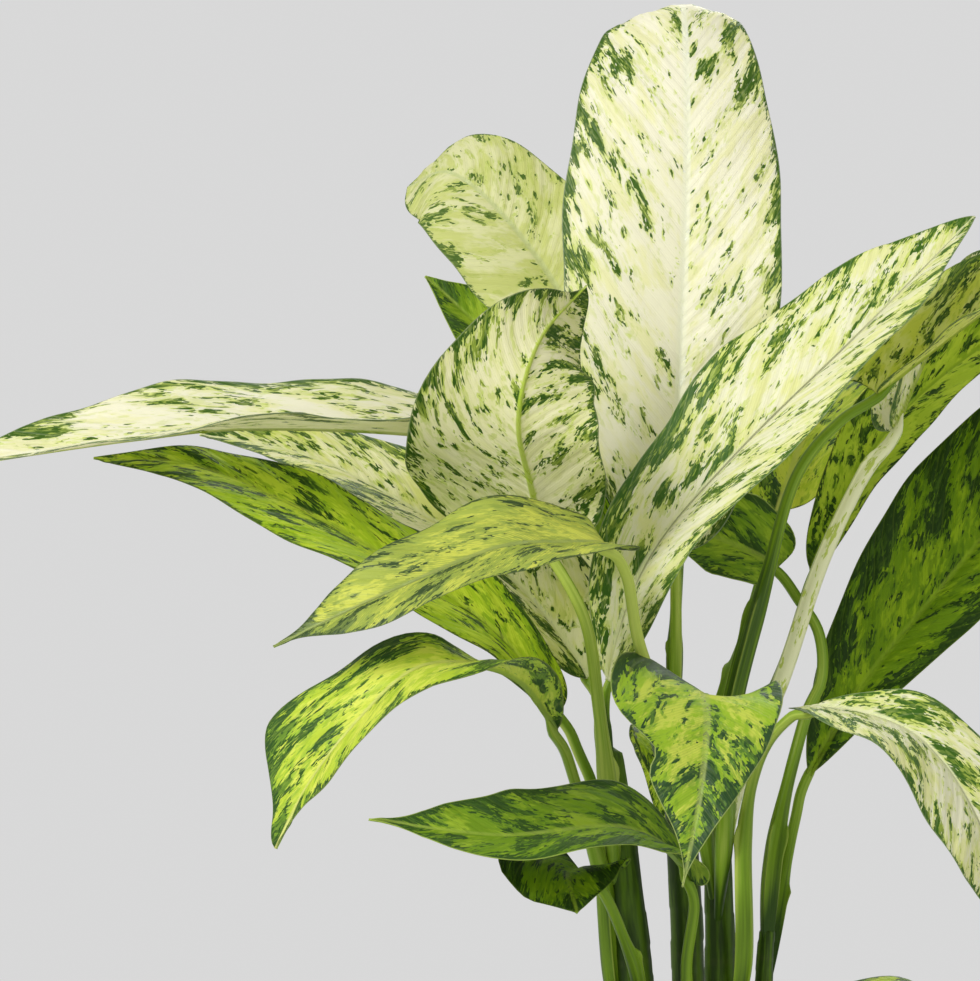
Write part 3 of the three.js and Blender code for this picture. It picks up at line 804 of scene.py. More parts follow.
class Spine:
    """The smooth curve through a list of points, read by the share of its length."""

    SAMPLES = 2400
    STRIDE = 1.5

    def __init__(self, points: Iterable[Sequence[float]]) -> None:
        """Samples a Catmull-Rom curve through the points.

        Args:
            points: The points that the curve passes, in order.
        """
        knots = np.array(list(points), float)
        self.spans = len(knots) - 1
        ends = np.vstack([2 * knots[0] - knots[1], knots, 2 * knots[-1] - knots[-2]])
        place = np.linspace(0, self.spans, self.SAMPLES + 1)
        low = np.minimum(place.astype(int), self.spans - 1)
        t = (place - low)[:, None]
        before, first, second, after = (ends[low + k] for k in range(4))
        leave, arrive = (second - before) / 2, (after - first) / 2
        self.points = (
            first + leave * t + (3 * (second - first) - 2 * leave - arrive) * t**2
            + (2 * (first - second) + leave + arrive) * t**3
        )
        steps = np.linalg.norm(np.diff(self.points, axis=0), axis=1)
        self.reached = np.concatenate([[0.0], np.cumsum(steps)])
        self.length = float(self.reached[-1])

    def share_at_knot(self, index: int) -> float:
        """The share of the length at which the curve passes one of its points."""
        return float(self.reached[round(index * self.SAMPLES / self.spans)]) / self.length

    def point(self, share: Array | float) -> Array:
        """Points at shares of the length."""
        at = np.asarray(share, float) * self.length
        return np.stack([np.interp(at, self.reached, self.points[:, k]) for k in range(3)], axis=-1)

    def along(self, share: Array | float) -> Array:
        """Unit directions at shares of the length, over a stride to both sides.

        Args:
            share: Shares of the length, from 0 to 1.

        Returns:
            A unit direction for each share.
        """
        share = np.asarray(share, float)
        reach = self.STRIDE / self.length
        return unit(self.point(np.minimum(share + reach, 1)) - self.point(np.maximum(share - reach, 0)))

    def carried(self, shares: Array, last: Sequence[float]) -> Array:
        """A direction across the curve, carried back along it without twist.

        Args:
            shares: Rising shares of the length.
            last: The direction at the last of them.

        Returns:
            A unit direction across the curve for each share.
        """
        along = self.along(shares)
        found = np.zeros((len(shares), 3))
        current = np.array(last, float)
        for index in range(len(shares) - 1, -1, -1):
            current = current - along[index] * float(current @ along[index])
            current = current / np.linalg.norm(current)
            found[index] = current
        return found


CANES = (
    CanePlan(
        Stem.LEFT,
        ((-24, -12, 124.4), (-24, -12, 160), (-26, -12, 230), (-28, -12, 290), (-34, -12, 350),
            (-40, -11, 420)),
        (11, 11, 11.5, 12, 10.5, 6),
    ),
    CanePlan(
        Stem.BACK, ((2, 25, 124.4), (2, 25, 160), (3, 25, 230), (4, 25, 290), (1, 25, 360), (-4, 25, 440)),
        (9.5, 9.5, 9.5, 9.5, 9, 5.5),
    ),
    CanePlan(
        Stem.FRONT,
        ((19, -15, 124.4), (19, -15, 160), (20, -15, 230), (20, -14, 290), (19, -12, 350), (20, -8, 400)),
        (9, 9, 9, 9, 8, 5.5),
    ),
    CanePlan(
        Stem.RIGHT, ((36, 5, 124.4), (36, 5, 160), (40, 6, 215), (44, 8, 275), (47, 11, 320)),
        (7, 7, 6.5, 5.5, 4.5),
    ),
)
LEAVES = (
    LeafPlan(
        "tall_cream", Stem.BACK, stalk=((-4, 25, 400), (-3, 21, 470)),
        rib=((-3, 18, 526), (-1, 12, 624), (3, 18, 745), (3, 48, 824), (1, 78, 834), (-2, 104, 822)),
        face=((0.05, -1, 0.1), (0, -0.6, 1)), half=(68, 54), outline=(0.5, 0.62), fold=(34, -12), curl=22,
        wave=(3.5, 2.6, 0.1), left_outline=(0.5, 0.56), pale=0.45, sheath=0.3, cusp=0.0, slope=(0.85, 0.85),
        patches=((0.66, -0.8, 0.07, 0.09), (0.78, 0.65, 0.06, 0.09), (0.56, 0.8, 0.05, 0.08),
            (0.35, 0.0, 0.16, -0.05), (0.86, -0.9, 0.05, 0.1), (0.96, -0.1, 0.03, 0.08)),
    ),
    LeafPlan(
        "upper_left_cream", Stem.BACK, stalk=((-4, 26, 398), (-22, 44, 458), (-32, 54, 540)),
        rib=((-37, 60, 611), (-66, 68, 671), (-98, 78, 716), (-129, 95, 742), (-154, 126, 736)),
        face=((0.1, -1, 0.2), (-0.3, -1, 0.8)), half=(42, 42), outline=(0.5, 0.42), fold=(26, -4), curl=20,
        wave=(3, 2.2, 0.4), lobe=5, finish=FADED, cusp=0.0, slope=(0.4, 0.4),
    ),
    LeafPlan(
        "upper_left_green", Stem.BACK, girth=4.8, stalk=((-4, 27, 395), (-22, 62, 460)),
        rib=((-64, 92, 583), (-100, 98, 640), (-143, 96, 683)), face=((0.2, -0.8, 0.5), (0.2, -0.8, 0.5)),
        half=(32, 32), outline=(0.5, 0.9), fold=(35, 20), curl=10, wave=(2, 2, 0), lobe=4, finish=FOREST,
    ),
    LeafPlan(
        "left_underside", Stem.LEFT, girth=5.4,
        stalk=((-37, -14, 330), (-42, -32, 395), (-48, -46, 447), (-55, -51, 490)),
        rib=((-75, -52, 531), (-85, -80, 566), (-91, -100, 592), (-88, -105, 618), (-77, -92, 645),
            (-55, -52, 670)),
        face=((0.25, 0.7, 0.6), (-0.2, 0.9, 0.2)), half=(42, 66), outline=(0.55, 1.5), fold=(16, 8), curl=20,
        wave=(4, 2.4, 0.6), lobe=4, left_outline=(0.3, 0.5), finish=SPECKLED, pale=0.5, sheath=0.4,
        slope=(0.45, 0.6), patches=((0.12, 0.0, 0.15, -0.08),),
    ),
    LeafPlan(
        "right_cream", Stem.LEFT, girth=5.4, stalk=((-40, -11, 405),),
        rib=((-42, -15, 456), (-20, -28, 522), (28, -28, 580), (98, -12, 648), (162, 14, 712)),
        face=((-0.6, -0.75, 0.3), (-0.5, -0.7, 0.6)), half=(46, 56), outline=(0.5, 0.75), fold=(38, 30),
        curl=12, wave=(3.5, 3, 0.3), left_outline=(0.9, 0.75), finish=BOLD, pale=0.3, cusp=0.2,
        slope=(1.5, 0.55),
        patches=((0.33, -0.9, 0.1, 0.17), (0.46, -0.85, 0.08, 0.12), (0.2, -0.6, 0.08, 0.07),
            (0.75, 0.0, 0.15, -0.03)),
    ),
    LeafPlan(
        "right_trough", Stem.FRONT, girth=5.6,
        stalk=((19, -12, 330), (20, -6, 400), (29, 0, 450), (45, 4, 508), (62, 8, 566), (86, 12, 598)),
        rib=((107, 15, 614), (131, 17, 633), (170, 17, 662), (206, 10, 684), (236, -4, 690)),
        face=((-0.5, -0.35, 0.75), (-0.2, -0.4, 1)), half=(42, 38), fold=(34, 30), curl=10, wave=(2, 3, 0.2),
        lobe=4, left_outline=(0.35, 0.8), left_lobe=24, finish=TROUGH, pale=0.0, sheath=0.55,
    ),
    LeafPlan(
        "right_hidden_cream", Stem.FRONT, girth=5.2,
        stalk=((19, -12, 330), (26, 4, 385), (40, 20, 422), (56, 31, 455), (79, 36, 521), (104, 43, 572)),
        rib=((119, 50, 594), (144, 84, 642), (178, 112, 684), (208, 132, 694)),
        face=((-0.5, 0.3, 0.8), (-0.4, 0.4, 0.8)), half=(30, 30), fold=(35, 25), curl=12, wave=(2.5, 2.5, 0.5),
        lobe=4, finish=BOLD, pale=0.8, mottle=0.85, sheath=0.94, patches=((0.05, 0.0, 0.15, 0.18),),
    ),
    LeafPlan(
        "right_lime_underside", Stem.BACK,
        stalk=((2, 26, 350), (22, 46, 394), (42, 66, 424), (60, 86, 458), (72, 102, 490)),
        rib=((79, 112, 513), (100, 122, 560), (131, 126, 605), (178, 126, 644), (214, 118, 663)),
        face=((-0.2, 0.9, 0.5), (-0.1, 0.8, 0.6)), half=(24, 24), outline=(0.9, 0.8), fold=(20, 15), curl=10,
        wave=(2.5, 2.5, 0.1), lobe=5, finish=BRIGHT, mottle=0.5,
    ),
    LeafPlan(
        "right_deep_green", Stem.RIGHT, girth=4.4, stalk=((45, 9, 275), (56, 28, 337), (65, 46, 376)),
        rib=((73, 52, 400), (105, 62, 452), (149, 74, 504), (189, 76, 552), (227, 64, 594), (252, 42, 615)),
        face=((0.2, -0.95, 0.3), (-0.2, -0.9, 0.4)), half=(54, 32), outline=(0.95, 0.6), fold=(30, 12), curl=15,
        wave=(2.5, 2.6, 0.7), lobe=5, finish=DEEP, pale=0.1,
        patches=((0.5, -0.8, 0.25, 0.08), (0.3, 0.1, 0.2, -0.08)),
    ),
    LeafPlan(
        "right_drooping", Stem.FRONT, girth=5.2,
        stalk=((20, -17, 250), (31, -30, 300), (31, -40, 372), (38, -50, 413), (52, -56, 437)),
        rib=((62, -62, 443), (88, -78, 443), (122, -98, 428), (150, -112, 386), (164, -112, 330)),
        face=((0.1, -0.5, 1), (0.7, -0.8, 0.5)), half=(35, 48), outline=(0.5, 0.75), fold=(30, 12), curl=15,
        wave=(3, 2.4, 0.2), lobe=7, left_outline=(1.2, 0.75), finish=BOLD, pale=0.3, sheath=0.62,
        slope=(1.0, 0.5), patches=((0.35, 0.0, 0.5, 0.07), (0.1, 0.4, 0.1, 0.06)),
    ),
    LeafPlan(
        "front_heart", Stem.FRONT, stalk=((18, -15, 320), (20, -55, 385), (14, -92, 434)),
        rib=((7, -114, 454), (6, -144, 438), (1, -167, 402), (-8, -176, 358)),
        face=((0.1, -0.9, 0.5), (0, -1, 0.05)), half=(40, 51), outline=(0.75, 2.0), fold=(6, 22),
        wave=(3, 2, 0.3), lobe=46, nick=(0.49, 0.34, 0.07), left_outline=(0.35, 1.62), left_lobe=31,
        finish=HEART, pale=0.2, cusp=0.0, slope=(0.6, 0.6),
        patches=((0.4, -0.6, 0.05, 0.13), (0.52, -0.25, 0.05, 0.08), (0.12, 0.8, 0.08, 0.08),
            (0.3, 0.2, 0.1, -0.08)),
    ),
    LeafPlan(
        "front_left_lime", Stem.FRONT, girth=5.2,
        stalk=((17, -14, 330), (6, -44, 395), (-12, -70, 440), (-27, -86, 479), (-34, -95, 516)),
        rib=((-44, -109, 531), (-72, -129, 533), (-104, -144, 530), (-158, -158, 508), (-218, -152, 480)),
        face=((0, -0.4, 1), (-0.2, -0.8, 0.6)), half=(31, 37), outline=(0.3, 0.85), fold=(22, 14),
        wave=(3, 2.6, 0.5), lobe=17, left_outline=(0.4, 0.85), left_lobe=18, finish=LIME, pale=0.45, cusp=0.7,
        slope=(1.0, 1.3),
    ),
    LeafPlan(
        "far_left_cream", Stem.BACK, girth=5.2, stalk=((-4, 25, 392), (-23, 28, 455), (-46, 10, 545)),
        rib=((-68, -10, 582), (-150, -50, 592), (-236, -82, 594), (-292, -98, 588), (-345, -112, 580),
            (-392, -124, 572)),
        face=((0.1, -0.2, 1), (0, -0.6, 1)), half=(40, 35), outline=(0.5, 0.65), fold=(36, 32), curl=12,
        wave=(3, 3.2, 0.2), lobe=4, slope=(2.2, 2.2),
        patches=((0.2, -0.8, 0.15, 0.12), (0.45, -0.8, 0.1, 0.1), (0.62, 0.5, 0.05, 0.1),
            (0.42, 0.7, 0.04, 0.08), (0.36, 0.6, 0.04, 0.1)),
    ),
    LeafPlan(
        "left_pale_behind", Stem.LEFT, girth=4.8, stalk=((-37, -10, 365), (-45, 6, 420)),
        rib=((-51, 20, 456), (-98, 36, 516), (-146, 44, 548), (-204, 46, 578), (-268, 36, 592)),
        face=((0.2, -0.6, 0.8), (0.1, -0.5, 0.9)), half=(46, 44), fold=(28, 18), curl=14, wave=(3, 3, 0.8),
        lobe=5, finish=SPECKLED,
    ),
    LeafPlan(
        "left_bright_green", Stem.LEFT, girth=5.4,
        stalk=((-31, -12, 240), (-40, -18, 300), (-47, -22, 384), (-58, -28, 418)),
        rib=((-68, -31, 440), (-108, -42, 488), (-181, -60, 536), (-258, -70, 572), (-318, -68, 578)),
        face=((0.3, -0.6, 0.8), (0.1, -0.6, 0.8)), half=(43, 29), fold=(28, 12), curl=14, wave=(3, 3, 0.4),
        lobe=5, finish=BRIGHT, pale=0.2, slope=(1.5, 1.5),
        patches=((0.8, -0.6, 0.18, 0.05), (0.2, 0.0, 0.25, -0.04)),
    ),
    LeafPlan(
        "lower_left_lime", Stem.LEFT, girth=4.6, stalk=((-33, -14, 300), (-48, -28, 360), (-60, -48, 402)),
        rib=((-71, -68, 432), (-92, -110, 462), (-120, -140, 471), (-147, -152, 467), (-175, -158, 441),
            (-199, -158, 410), (-217, -154, 376)),
        face=((-0.2, -0.5, 0.9), (-0.75, -0.55, 0.5)), half=(30, 49), outline=(2.4, 0.55), fold=(24, 20),
        curl=18, wave=(3, 2.6, 0.1), left_outline=(0.9, 0.8), finish=ARCHED, pale=0.2, cusp=0.65,
        slope=(1.0, 1.4), patches=((0.55, 0.9, 0.12, 0.1), (0.8, 0.9, 0.1, 0.08), (0.2, -0.5, 0.15, 0.12)),
    ),
    LeafPlan(
        "bottom_left_deep", Stem.FRONT, girth=4.8, stalk=((17, -15, 215), (4, -36, 262), (0, -45, 302)),
        rib=((2, -58, 352), (-34, -98, 382), (-101, -146, 382), (-168, -166, 392)),
        face=((0, -0.6, 0.9), (0, -0.7, 0.7)), half=(31, 31), outline=(0.45, 0.8), fold=(26, 20), curl=14,
        wave=(2.5, 2.6, 0.6), finish=FOREST, cusp=0.65, slope=(1.3, 1.3),
    ),
    LeafPlan(
        "small_folded", Stem.LEFT, girth=4,
        stalk=((-28, -13, 250), (-26, -34, 292), (-36, -56, 324), (-46, -72, 346)),
        rib=((-58, -86, 359), (-65, -110, 358), (-61, -130, 341)), face=((0, -0.5, 0.85), (0, -0.9, 0.4)),
        half=(32, 40), outline=(0.5, 0.75), fold=(28, 18), curl=12, wave=(2.5, 1.6, 0.2), lobe=8, finish=DEEP,
    ),
    LeafPlan(
        "centre_dark_behind", Stem.RIGHT, girth=5.2,
        stalk=((45, 9, 285), (51, 13, 361), (68, 30, 429), (79, 38, 455), (78, 43, 480), (67, 45, 499)),
        rib=((55, 46, 516), (33, 50, 529), (8, 53, 538), (-14, 52, 543)),
        face=((-0.1, -0.9, 0.5), (0, -0.9, 0.5)), half=(24, 30), fold=(22, 14), curl=14, wave=(2.5, 2, 0.4),
        finish=FOREST, sheath=0.36,
    ),
    LeafPlan(
        "low_right", Stem.RIGHT, girth=4.6, stalk=((39, 5, 200), (54, -10, 238)),
        rib=((66, -20, 264), (94, -32, 280), (132, -44, 264), (168, -54, 218)),
        face=((0, -0.3, 1), (0.6, -0.3, 0.8)), half=(34, 34), fold=(22, 12), curl=14, wave=(2.5, 2.4, 0.9),
        finish=ARCHED,
    ),
    LeafPlan(
        "centre_young", Stem.BACK, girth=3.8, stalk=((-5, 25, 405), (-23, 33, 466)),
        rib=((-29, 36, 520), (-33, 38, 560), (-35, 42, 602)), face=((0, -1, 0.2), (0, -1, 0.2)), half=(14, 14),
        outline=(0.6, 0.9), fold=(40, 30), curl=10, wave=(1, 1.5, 0), lobe=2, finish=BRIGHT,
    ),
    LeafPlan(
        "rear_upper", Stem.BACK, stalk=((-4, 26, 410), (-2, 56, 480)),
        rib=((2, 92, 530), (5, 136, 596), (8, 200, 646), (10, 270, 640)), face=((0, 0.2, 1), (0, 0.6, 0.9)),
        half=(46, 46), outline=(0.5, 0.75), fold=(28, 14), wave=(3.5, 2.6, 0.2),
    ),
    LeafPlan(
        "rear_right", Stem.BACK, stalk=((1, 27, 370), (26, 68, 440), (40, 106, 476), (52, 126, 514)),
        rib=((62, 142, 548), (86, 192, 606), (112, 252, 636), (126, 310, 612)),
        face=((0.1, 0.1, 1), (0.3, 0.5, 0.9)), half=(42, 42), fold=(26, 14), wave=(3, 2.6, 0.7), finish=ARCHED,
    ),
    LeafPlan(
        "rear_left", Stem.BACK, stalk=((-3, 26, 380), (-20, 64, 448)),
        rib=((-48, 92, 506), (-92, 150, 552), (-124, 222, 572), (-140, 292, 542)),
        face=((0, 0.1, 1), (-0.3, 0.5, 0.9)), half=(44, 44), fold=(26, 14), wave=(3, 2.6, 0.5), finish=SPECKLED,
    ),
    LeafPlan(
        "rear_low", Stem.BACK, girth=4.8, stalk=((0, 26, 300), (4, 56, 356)),
        rib=((6, 84, 388), (8, 134, 416), (12, 200, 394), (14, 250, 336)), face=((0, 0.3, 1), (0, 0.9, 0.5)),
        half=(34, 30), wave=(3, 2.4, 0.3), finish=BRIGHT,
    ),
    LeafPlan(
        "low_rear_right", Stem.RIGHT, girth=4.4, stalk=((38, 6, 190), (54, 26, 224)),
        rib=((66, 44, 244), (98, 92, 262), (128, 150, 250), (146, 196, 212)),
        face=((0, 0.1, 1), (0.3, 0.6, 0.8)), half=(34, 34), wave=(2.5, 2.4, 0.1), finish=DEEP,
    ),
    LeafPlan(
        "low_rear_left", Stem.BACK, girth=4.4, stalk=((1, 26, 200), (-18, 46, 230)),
        rib=((-34, 62, 246), (-76, 104, 262), (-118, 150, 248), (-146, 186, 206)),
        face=((0, 0.1, 1), (-0.4, 0.6, 0.8)), half=(34, 34), wave=(2.5, 2.4, 0.6), finish=FOREST,
    ),
    LeafPlan(
        "low_front_left", Stem.LEFT, girth=4.4, stalk=((-25, -12, 180), (-46, -30, 208)),
        rib=((-62, -42, 226), (-106, -72, 244), (-154, -104, 232), (-188, -124, 192)),
        face=((0, -0.2, 1), (-0.4, -0.6, 0.8)), half=(34, 34), wave=(2.5, 2.4, 0.8), finish=FOREST,
    ),
)


# ---------------------------------------------------------------- meshes
def make_piece(
    name: str, points: Array, faces: Sequence[Sequence[int]], material: Material,
    vectors: Mapping[str, Array] | None = None,
) -> Piece:
    """Makes a smooth mesh object from points in millimetres.

    Args:
        name: The piece's name.
        points: One row of three numbers for each point.
        faces: Corner numbers for each face, anticlockwise from outside.
        material: Its one material.
        vectors: Named vectors, one for each point, that the material reads.

    Returns:
        The object, linked to the scene.
    """
    mesh = bpy.data.meshes.new(name)
    mesh.from_pydata((points * MM).tolist(), [], faces)
    for key, values in (vectors or {}).items():
        made = mesh.attributes.new(key, "FLOAT_VECTOR", "POINT")
        made.data.foreach_set("vector", np.ascontiguousarray(values, np.float32).ravel())
    mesh.polygons.foreach_set("use_smooth", [True] * len(mesh.polygons))
    mesh.materials.append(material)
    mesh.update()
    piece = bpy.data.objects.new(name, mesh)
    bpy.context.scene.collection.objects.link(piece)
    return piece


def settle(piece: Piece, slot: str, *nodes: str) -> None:
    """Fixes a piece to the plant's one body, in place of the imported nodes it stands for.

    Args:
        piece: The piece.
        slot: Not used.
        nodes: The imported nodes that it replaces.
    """
    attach(piece, "root")
    if nodes:
        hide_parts(*nodes)
    LOG.info("%s: %d faces, for %s", piece.name, len(piece.data.polygons), ", ".join(nodes) or "detail")


def ring_faces(rings: int, count: int, first: int = 0) -> Faces:
    """The four-cornered faces between rings of equally many points.

    Args:
        rings: How many rings.
        count: How many points each ring has.
        first: The number of the first point.

    Returns:
        The faces, as their corners' numbers.
    """
    faces = []
    for start in range(first, first + (rings - 1) * count, count):
        for k in range(count):
            following = (k + 1) % count
            faces.append((start + k, start + following, start + count + following, start + count + k))
    return faces


def turned(profile: Sequence[Pair], sides: int) -> tuple[Array, Faces]:
    """A closed solid turned about the Z axis.

    Args:
        profile: Radius and height of each ring, walked anticlockwise round the cut.
        sides: How many points each ring has.

    Returns:
        The solid's points and faces.
    """
    angle = np.arange(sides) * TURN / sides
    rings = [stacked(radius * np.cos(angle), radius * np.sin(angle), height) for radius, height in profile]
    last = (len(profile) - 1) * sides
    caps = [tuple(range(sides))[::-1], tuple(range(last, last + sides))]
    return np.vstack(rings), ring_faces(len(profile), sides) + caps


class Tubes:
    """Closed tubes that gather into one mesh, each with its place and look at every point."""

    def __init__(self) -> None:
        """Starts with none."""
        self.points: list[Array] = []
        self.faces: Faces = []
        self.place: list[Array] = []
        self.look: list[Array] = []
        self.total = 0

    def add(self, rings: Array, place: Array, look: Array) -> None:
        """Adds one tube.

        Args:
            rings: Its points, ring by ring from its foot, anticlockwise seen from its far end.
            place: For each point, two numbers for its place round the tube and the millimetres along it.
            look: For each point, the three numbers that its material reads.
        """
        count = rings.shape[1]
        self.faces += ring_faces(len(rings), count, self.total)
        last = self.total + (len(rings) - 1) * count
        self.faces.append(tuple(reversed(range(self.total, self.total + count))))
        self.faces.append(tuple(range(last, last + count)))
        for store, values in ((self.points, rings), (self.place, place), (self.look, look)):
            store.append(values.reshape(-1, 3))
        self.total += len(rings) * count

    def piece(self, name: str, material: Material) -> Piece:
        """The object that holds every tube added so far."""
        vectors = {"stalk_place": np.vstack(self.place), "stalk_look": np.vstack(self.look)}
        return make_piece(name, np.vstack(self.points), self.faces, material, vectors)


class BladeGrid:
    """The rows and columns of one blade: where they stand, which half they are on and how wide it is."""

    ROW_CROWDING, COLUMN_CROWDING = 0.6, 0.35
    LEAST_ROWS, LEAST_COLUMNS, MORE_COLUMNS = 24, 12, 5
    UNEVENNESS = 0.012

    def __init__(self, blade: Blade) -> None:
        """Lays the grid out along the blade's midrib.

        Args:
            blade: The blade that the grid is for.
        """
        plan = blade.plan
        spine, start = blade.spine()
        self.length = spine.length * (1 - start)
        self.rows = max(self.LEAST_ROWS, round(self.length / blade.spacing))
        columns = max(self.LEAST_COLUMNS, round(max(plan.half) / blade.spacing) + self.MORE_COLUMNS)
        self.share = eased(self.rows, self.ROW_CROWDING)[:, None]
        outwards = eased(columns + 1, self.COLUMN_CROWDING)
        self.spread = np.concatenate([-outwards[:0:-1], outwards])[None, :]
        self.left = self.spread < 0
        self.t, self.sign = np.abs(self.spread), np.where(self.left, -1.0, 1.0)

        first = start + blade.gap / spine.length
        place = np.minimum(first + (1 - first) * self.share[:, 0], 1)
        self.centre, self.along = spine.point(place), spine.along(place)
        up = between(np.array(plan.face, float), self.share)
        self.up = unit(up - self.along * (up * self.along).sum(1, keepdims=True))
        self.side = np.cross(self.along, self.up)

        wide = np.where(self.left, blade.half_width(self.share, True), blade.half_width(self.share, False))
        uneven = np.sin(self.share * 31 + self.sign * 2 + plan.seed) * smoothstep(self.share, 0.02, 0.2)
        self.wide = wide * (1 + self.UNEVENNESS * uneven)
        self.from_rib = self.wide * self.t


@dataclass(frozen=True)
class Blade:
    """One blade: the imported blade's surface drawn finely, raised by its veins, with a round midrib below."""

    plan: LeafPlan
    thickness: Pair = (0.85, 0.4)
    rib_depth: Pair = (2.1, 0.6)
    rib_half: Pair = (2.1, 0.7)
    base_half: float = 4.2
    tip_half: float = 0.35
    spacing: float = 2.6
    quilting: float = 0.12
    quilt_pitch: float = 8.0
    swelling: float = 0.55
    swell_pitch: float = 31
    channel: float = 0.28
    channel_half: float = 2.2
    ripple: float = 0.35
    ripple_pitch: float = 5.5
    lobe_reach: float = 0.1
    rounding: float = 0.2
    gap: float = 0.4

    def spine(self) -> tuple[Spine, float]:
        """The curve through stalk and midrib, and the share of it where the blade begins."""
        spine = Spine(self.plan.stalk + self.plan.rib)
        return spine, spine.share_at_knot(len(self.plan.stalk))

    def half_width(self, share: Array, left: bool) -> Array:
        """How wide a half is at each share of the length, with nick, cusp, base and tip.

        Args:
            share: Shares of the length, from 0 to 1.
            left: Whether it is the left half.

        Returns:
            The breadth at each share, in millimetres.
        """
        (rise, fall), _, nick = self.plan.half_shape(left)
        peak = rise / (rise + fall)
        at = np.clip(share, 1e-4, 1 - 1e-4)
        wide = at**rise * (1 - at) ** fall / (peak**rise * (1 - peak) ** fall)
        if nick:
            wide = wide * (1 - nick[1] * bell(share, nick[0], nick[2]))
        wide = wide * (1 - self.plan.cusp * smoothstep(share, 0.8, 0.96))
        least = between((self.base_half, self.tip_half), share) * (0.4 + 0.6 * smoothstep(share, 0, 0.06))
        return np.maximum(self.plan.half[0 if left else 1] * wide, least)

    def extra_cover(self, grid: BladeGrid) -> Array:
        """How much more of the blade is dark at each point, from the plan's patches.

        Args:
            grid: The blade's grid of points.

        Returns:
            A number for each point, below 0 where less is dark.
        """
        cover = np.zeros(np.broadcast(grid.share, grid.spread).shape)
        for along, across, reach, strength in self.plan.patches:
            off = ((grid.share - along) / reach) ** 2 + ((grid.spread - across) / (2 * reach)) ** 2
            cover = cover + strength * np.exp(-off)
        return cover

    def vein_places(self, grid: BladeGrid) -> tuple[Array, Array]:
        """How far out along its side vein each point lies, and how far on across the side veins.

        Args:
            grid: The blade's grid of points.

        Returns:
            The two places of each point, in that order.
        """
        slope = np.where(grid.left, *self.plan.slope)
        lean = np.hypot(1, slope)
        row = grid.share * grid.length - grid.from_rib * (slope + 0.5 * grid.share) - 0.004 * grid.from_rib**2
        return 0.95 * lean * grid.from_rib, row * 1.3 / lean

    def relief(self, grid: BladeGrid, vein_row: Array) -> Array:
        """How far waves, ripples and veins raise the upper side, and the midrib's channel sinks it.

        Args:
            grid: The blade's grid of points.
            vein_row: How far on across the side veins each point lies.

        Returns:
            A height for each point, in millimetres.
        """
        plan, share, t, sign = self.plan, grid.share, grid.t, grid.sign
        swell = np.sqrt(np.maximum(np.sin(math.pi * np.minimum(share * 1.15, 1)), 0))
        height, count, begin = plan.wave
        wave = height * t**2 * swell * np.sin(TURN * (count * share + begin + np.where(grid.left, 0.37, 0)))
        ripple = np.sin(share * grid.length / self.ripple_pitch + sign * 1.7 + plan.seed)
        wave = wave + self.ripple * t**6 * swell * ripple
        within = smoothstep(t, 0.04, 0.2) * smoothstep(t, 1.0, 0.82)
        wobble = 1.3 * np.sin(share * 9 + plan.seed) + 0.7 * np.sin(share * 23 + sign)
        quilt = self.quilting * within * np.cos(TURN * (vein_row + wobble) / self.quilt_pitch)
        swells = self.swelling * within * np.sin(TURN * (vein_row + 2 * wobble) / self.swell_pitch)
        channel = self.channel * (1 - 0.6 * share) * bell(grid.from_rib, 0, self.channel_half)
        return wave - quilt + swells - channel

    def build(self, material: Material) -> Piece:
        """Draws the blade.

        Args:
            material: The material of its finish.

        Returns:
            The object, a closed thin solid with a map of its own for baking.
        """
        plan, grid = self.plan, BladeGrid(self)
        share, t, sign = grid.share, grid.t, grid.sign
        out_along, vein_row = self.vein_places(grid)
        open_angle = np.radians(between(plan.fold, share))
        loss = math.radians(plan.curl)
        angle = open_angle - loss * t
        across = grid.wide * (np.sin(open_angle) - np.sin(angle)) / loss
        raised = grid.wide * (np.cos(angle) - np.cos(open_angle)) / loss + self.relief(grid, vein_row)
        lobe = np.where(grid.left, plan.half_shape(True)[1], plan.half_shape(False)[1])
        back = lobe * (share / self.lobe_reach) * np.exp(1 - share / self.lobe_reach) * t**2

        side, up = grid.side[:, None], grid.up[:, None]
        upper = grid.centre[:, None] + side * (sign * across)[..., None] + up * raised[..., None]
        upper = upper - grid.along[:, None] * back[..., None]
        crease = smoothstep(grid.from_rib, 0, 3.0)
        out = unit(up * np.cos(angle)[..., None] - side * (sign * crease * np.sin(angle))[..., None])
        from_middle = np.minimum(grid.from_rib / between(self.rib_half, share), 1)
        rib = between(self.rib_depth, share) * (1 - from_middle**2) ** 1.3
        lower = upper - out * (between(self.thickness, t**3) + rib)[..., None]
        edge = (upper + lower) / 2 + side * (self.rounding * sign * np.cos(angle))[..., None]
        rings = np.concatenate([upper, edge[:, -1:], lower[:, ::-1], edge[:, :1]], axis=1)

        vectors = {}
        for key, parts in {
            "blade_vein": (sign * out_along, vein_row, plan.seed),
            "blade_place": (grid.wide * (1 - t), (1 - share) * grid.length, 1.0),
            "blade_grid": (sign * grid.from_rib, self.extra_cover(grid), share),
        }.items():
            above = stacked(*parts)
            below = above[:, ::-1].copy()
            if key == "blade_place":
                below[..., 2] = -1
            vectors[key] = np.concatenate([above, above[:, -1:], below, above[:, :1]], axis=1).reshape(-1, 3)
        faces = self.faces(grid.rows, grid.spread.size)
        piece = make_piece(f"leaf_{plan.name}", rings.reshape(-1, 3), faces, material, vectors)
        self.lay_out(piece, grid)
        return piece

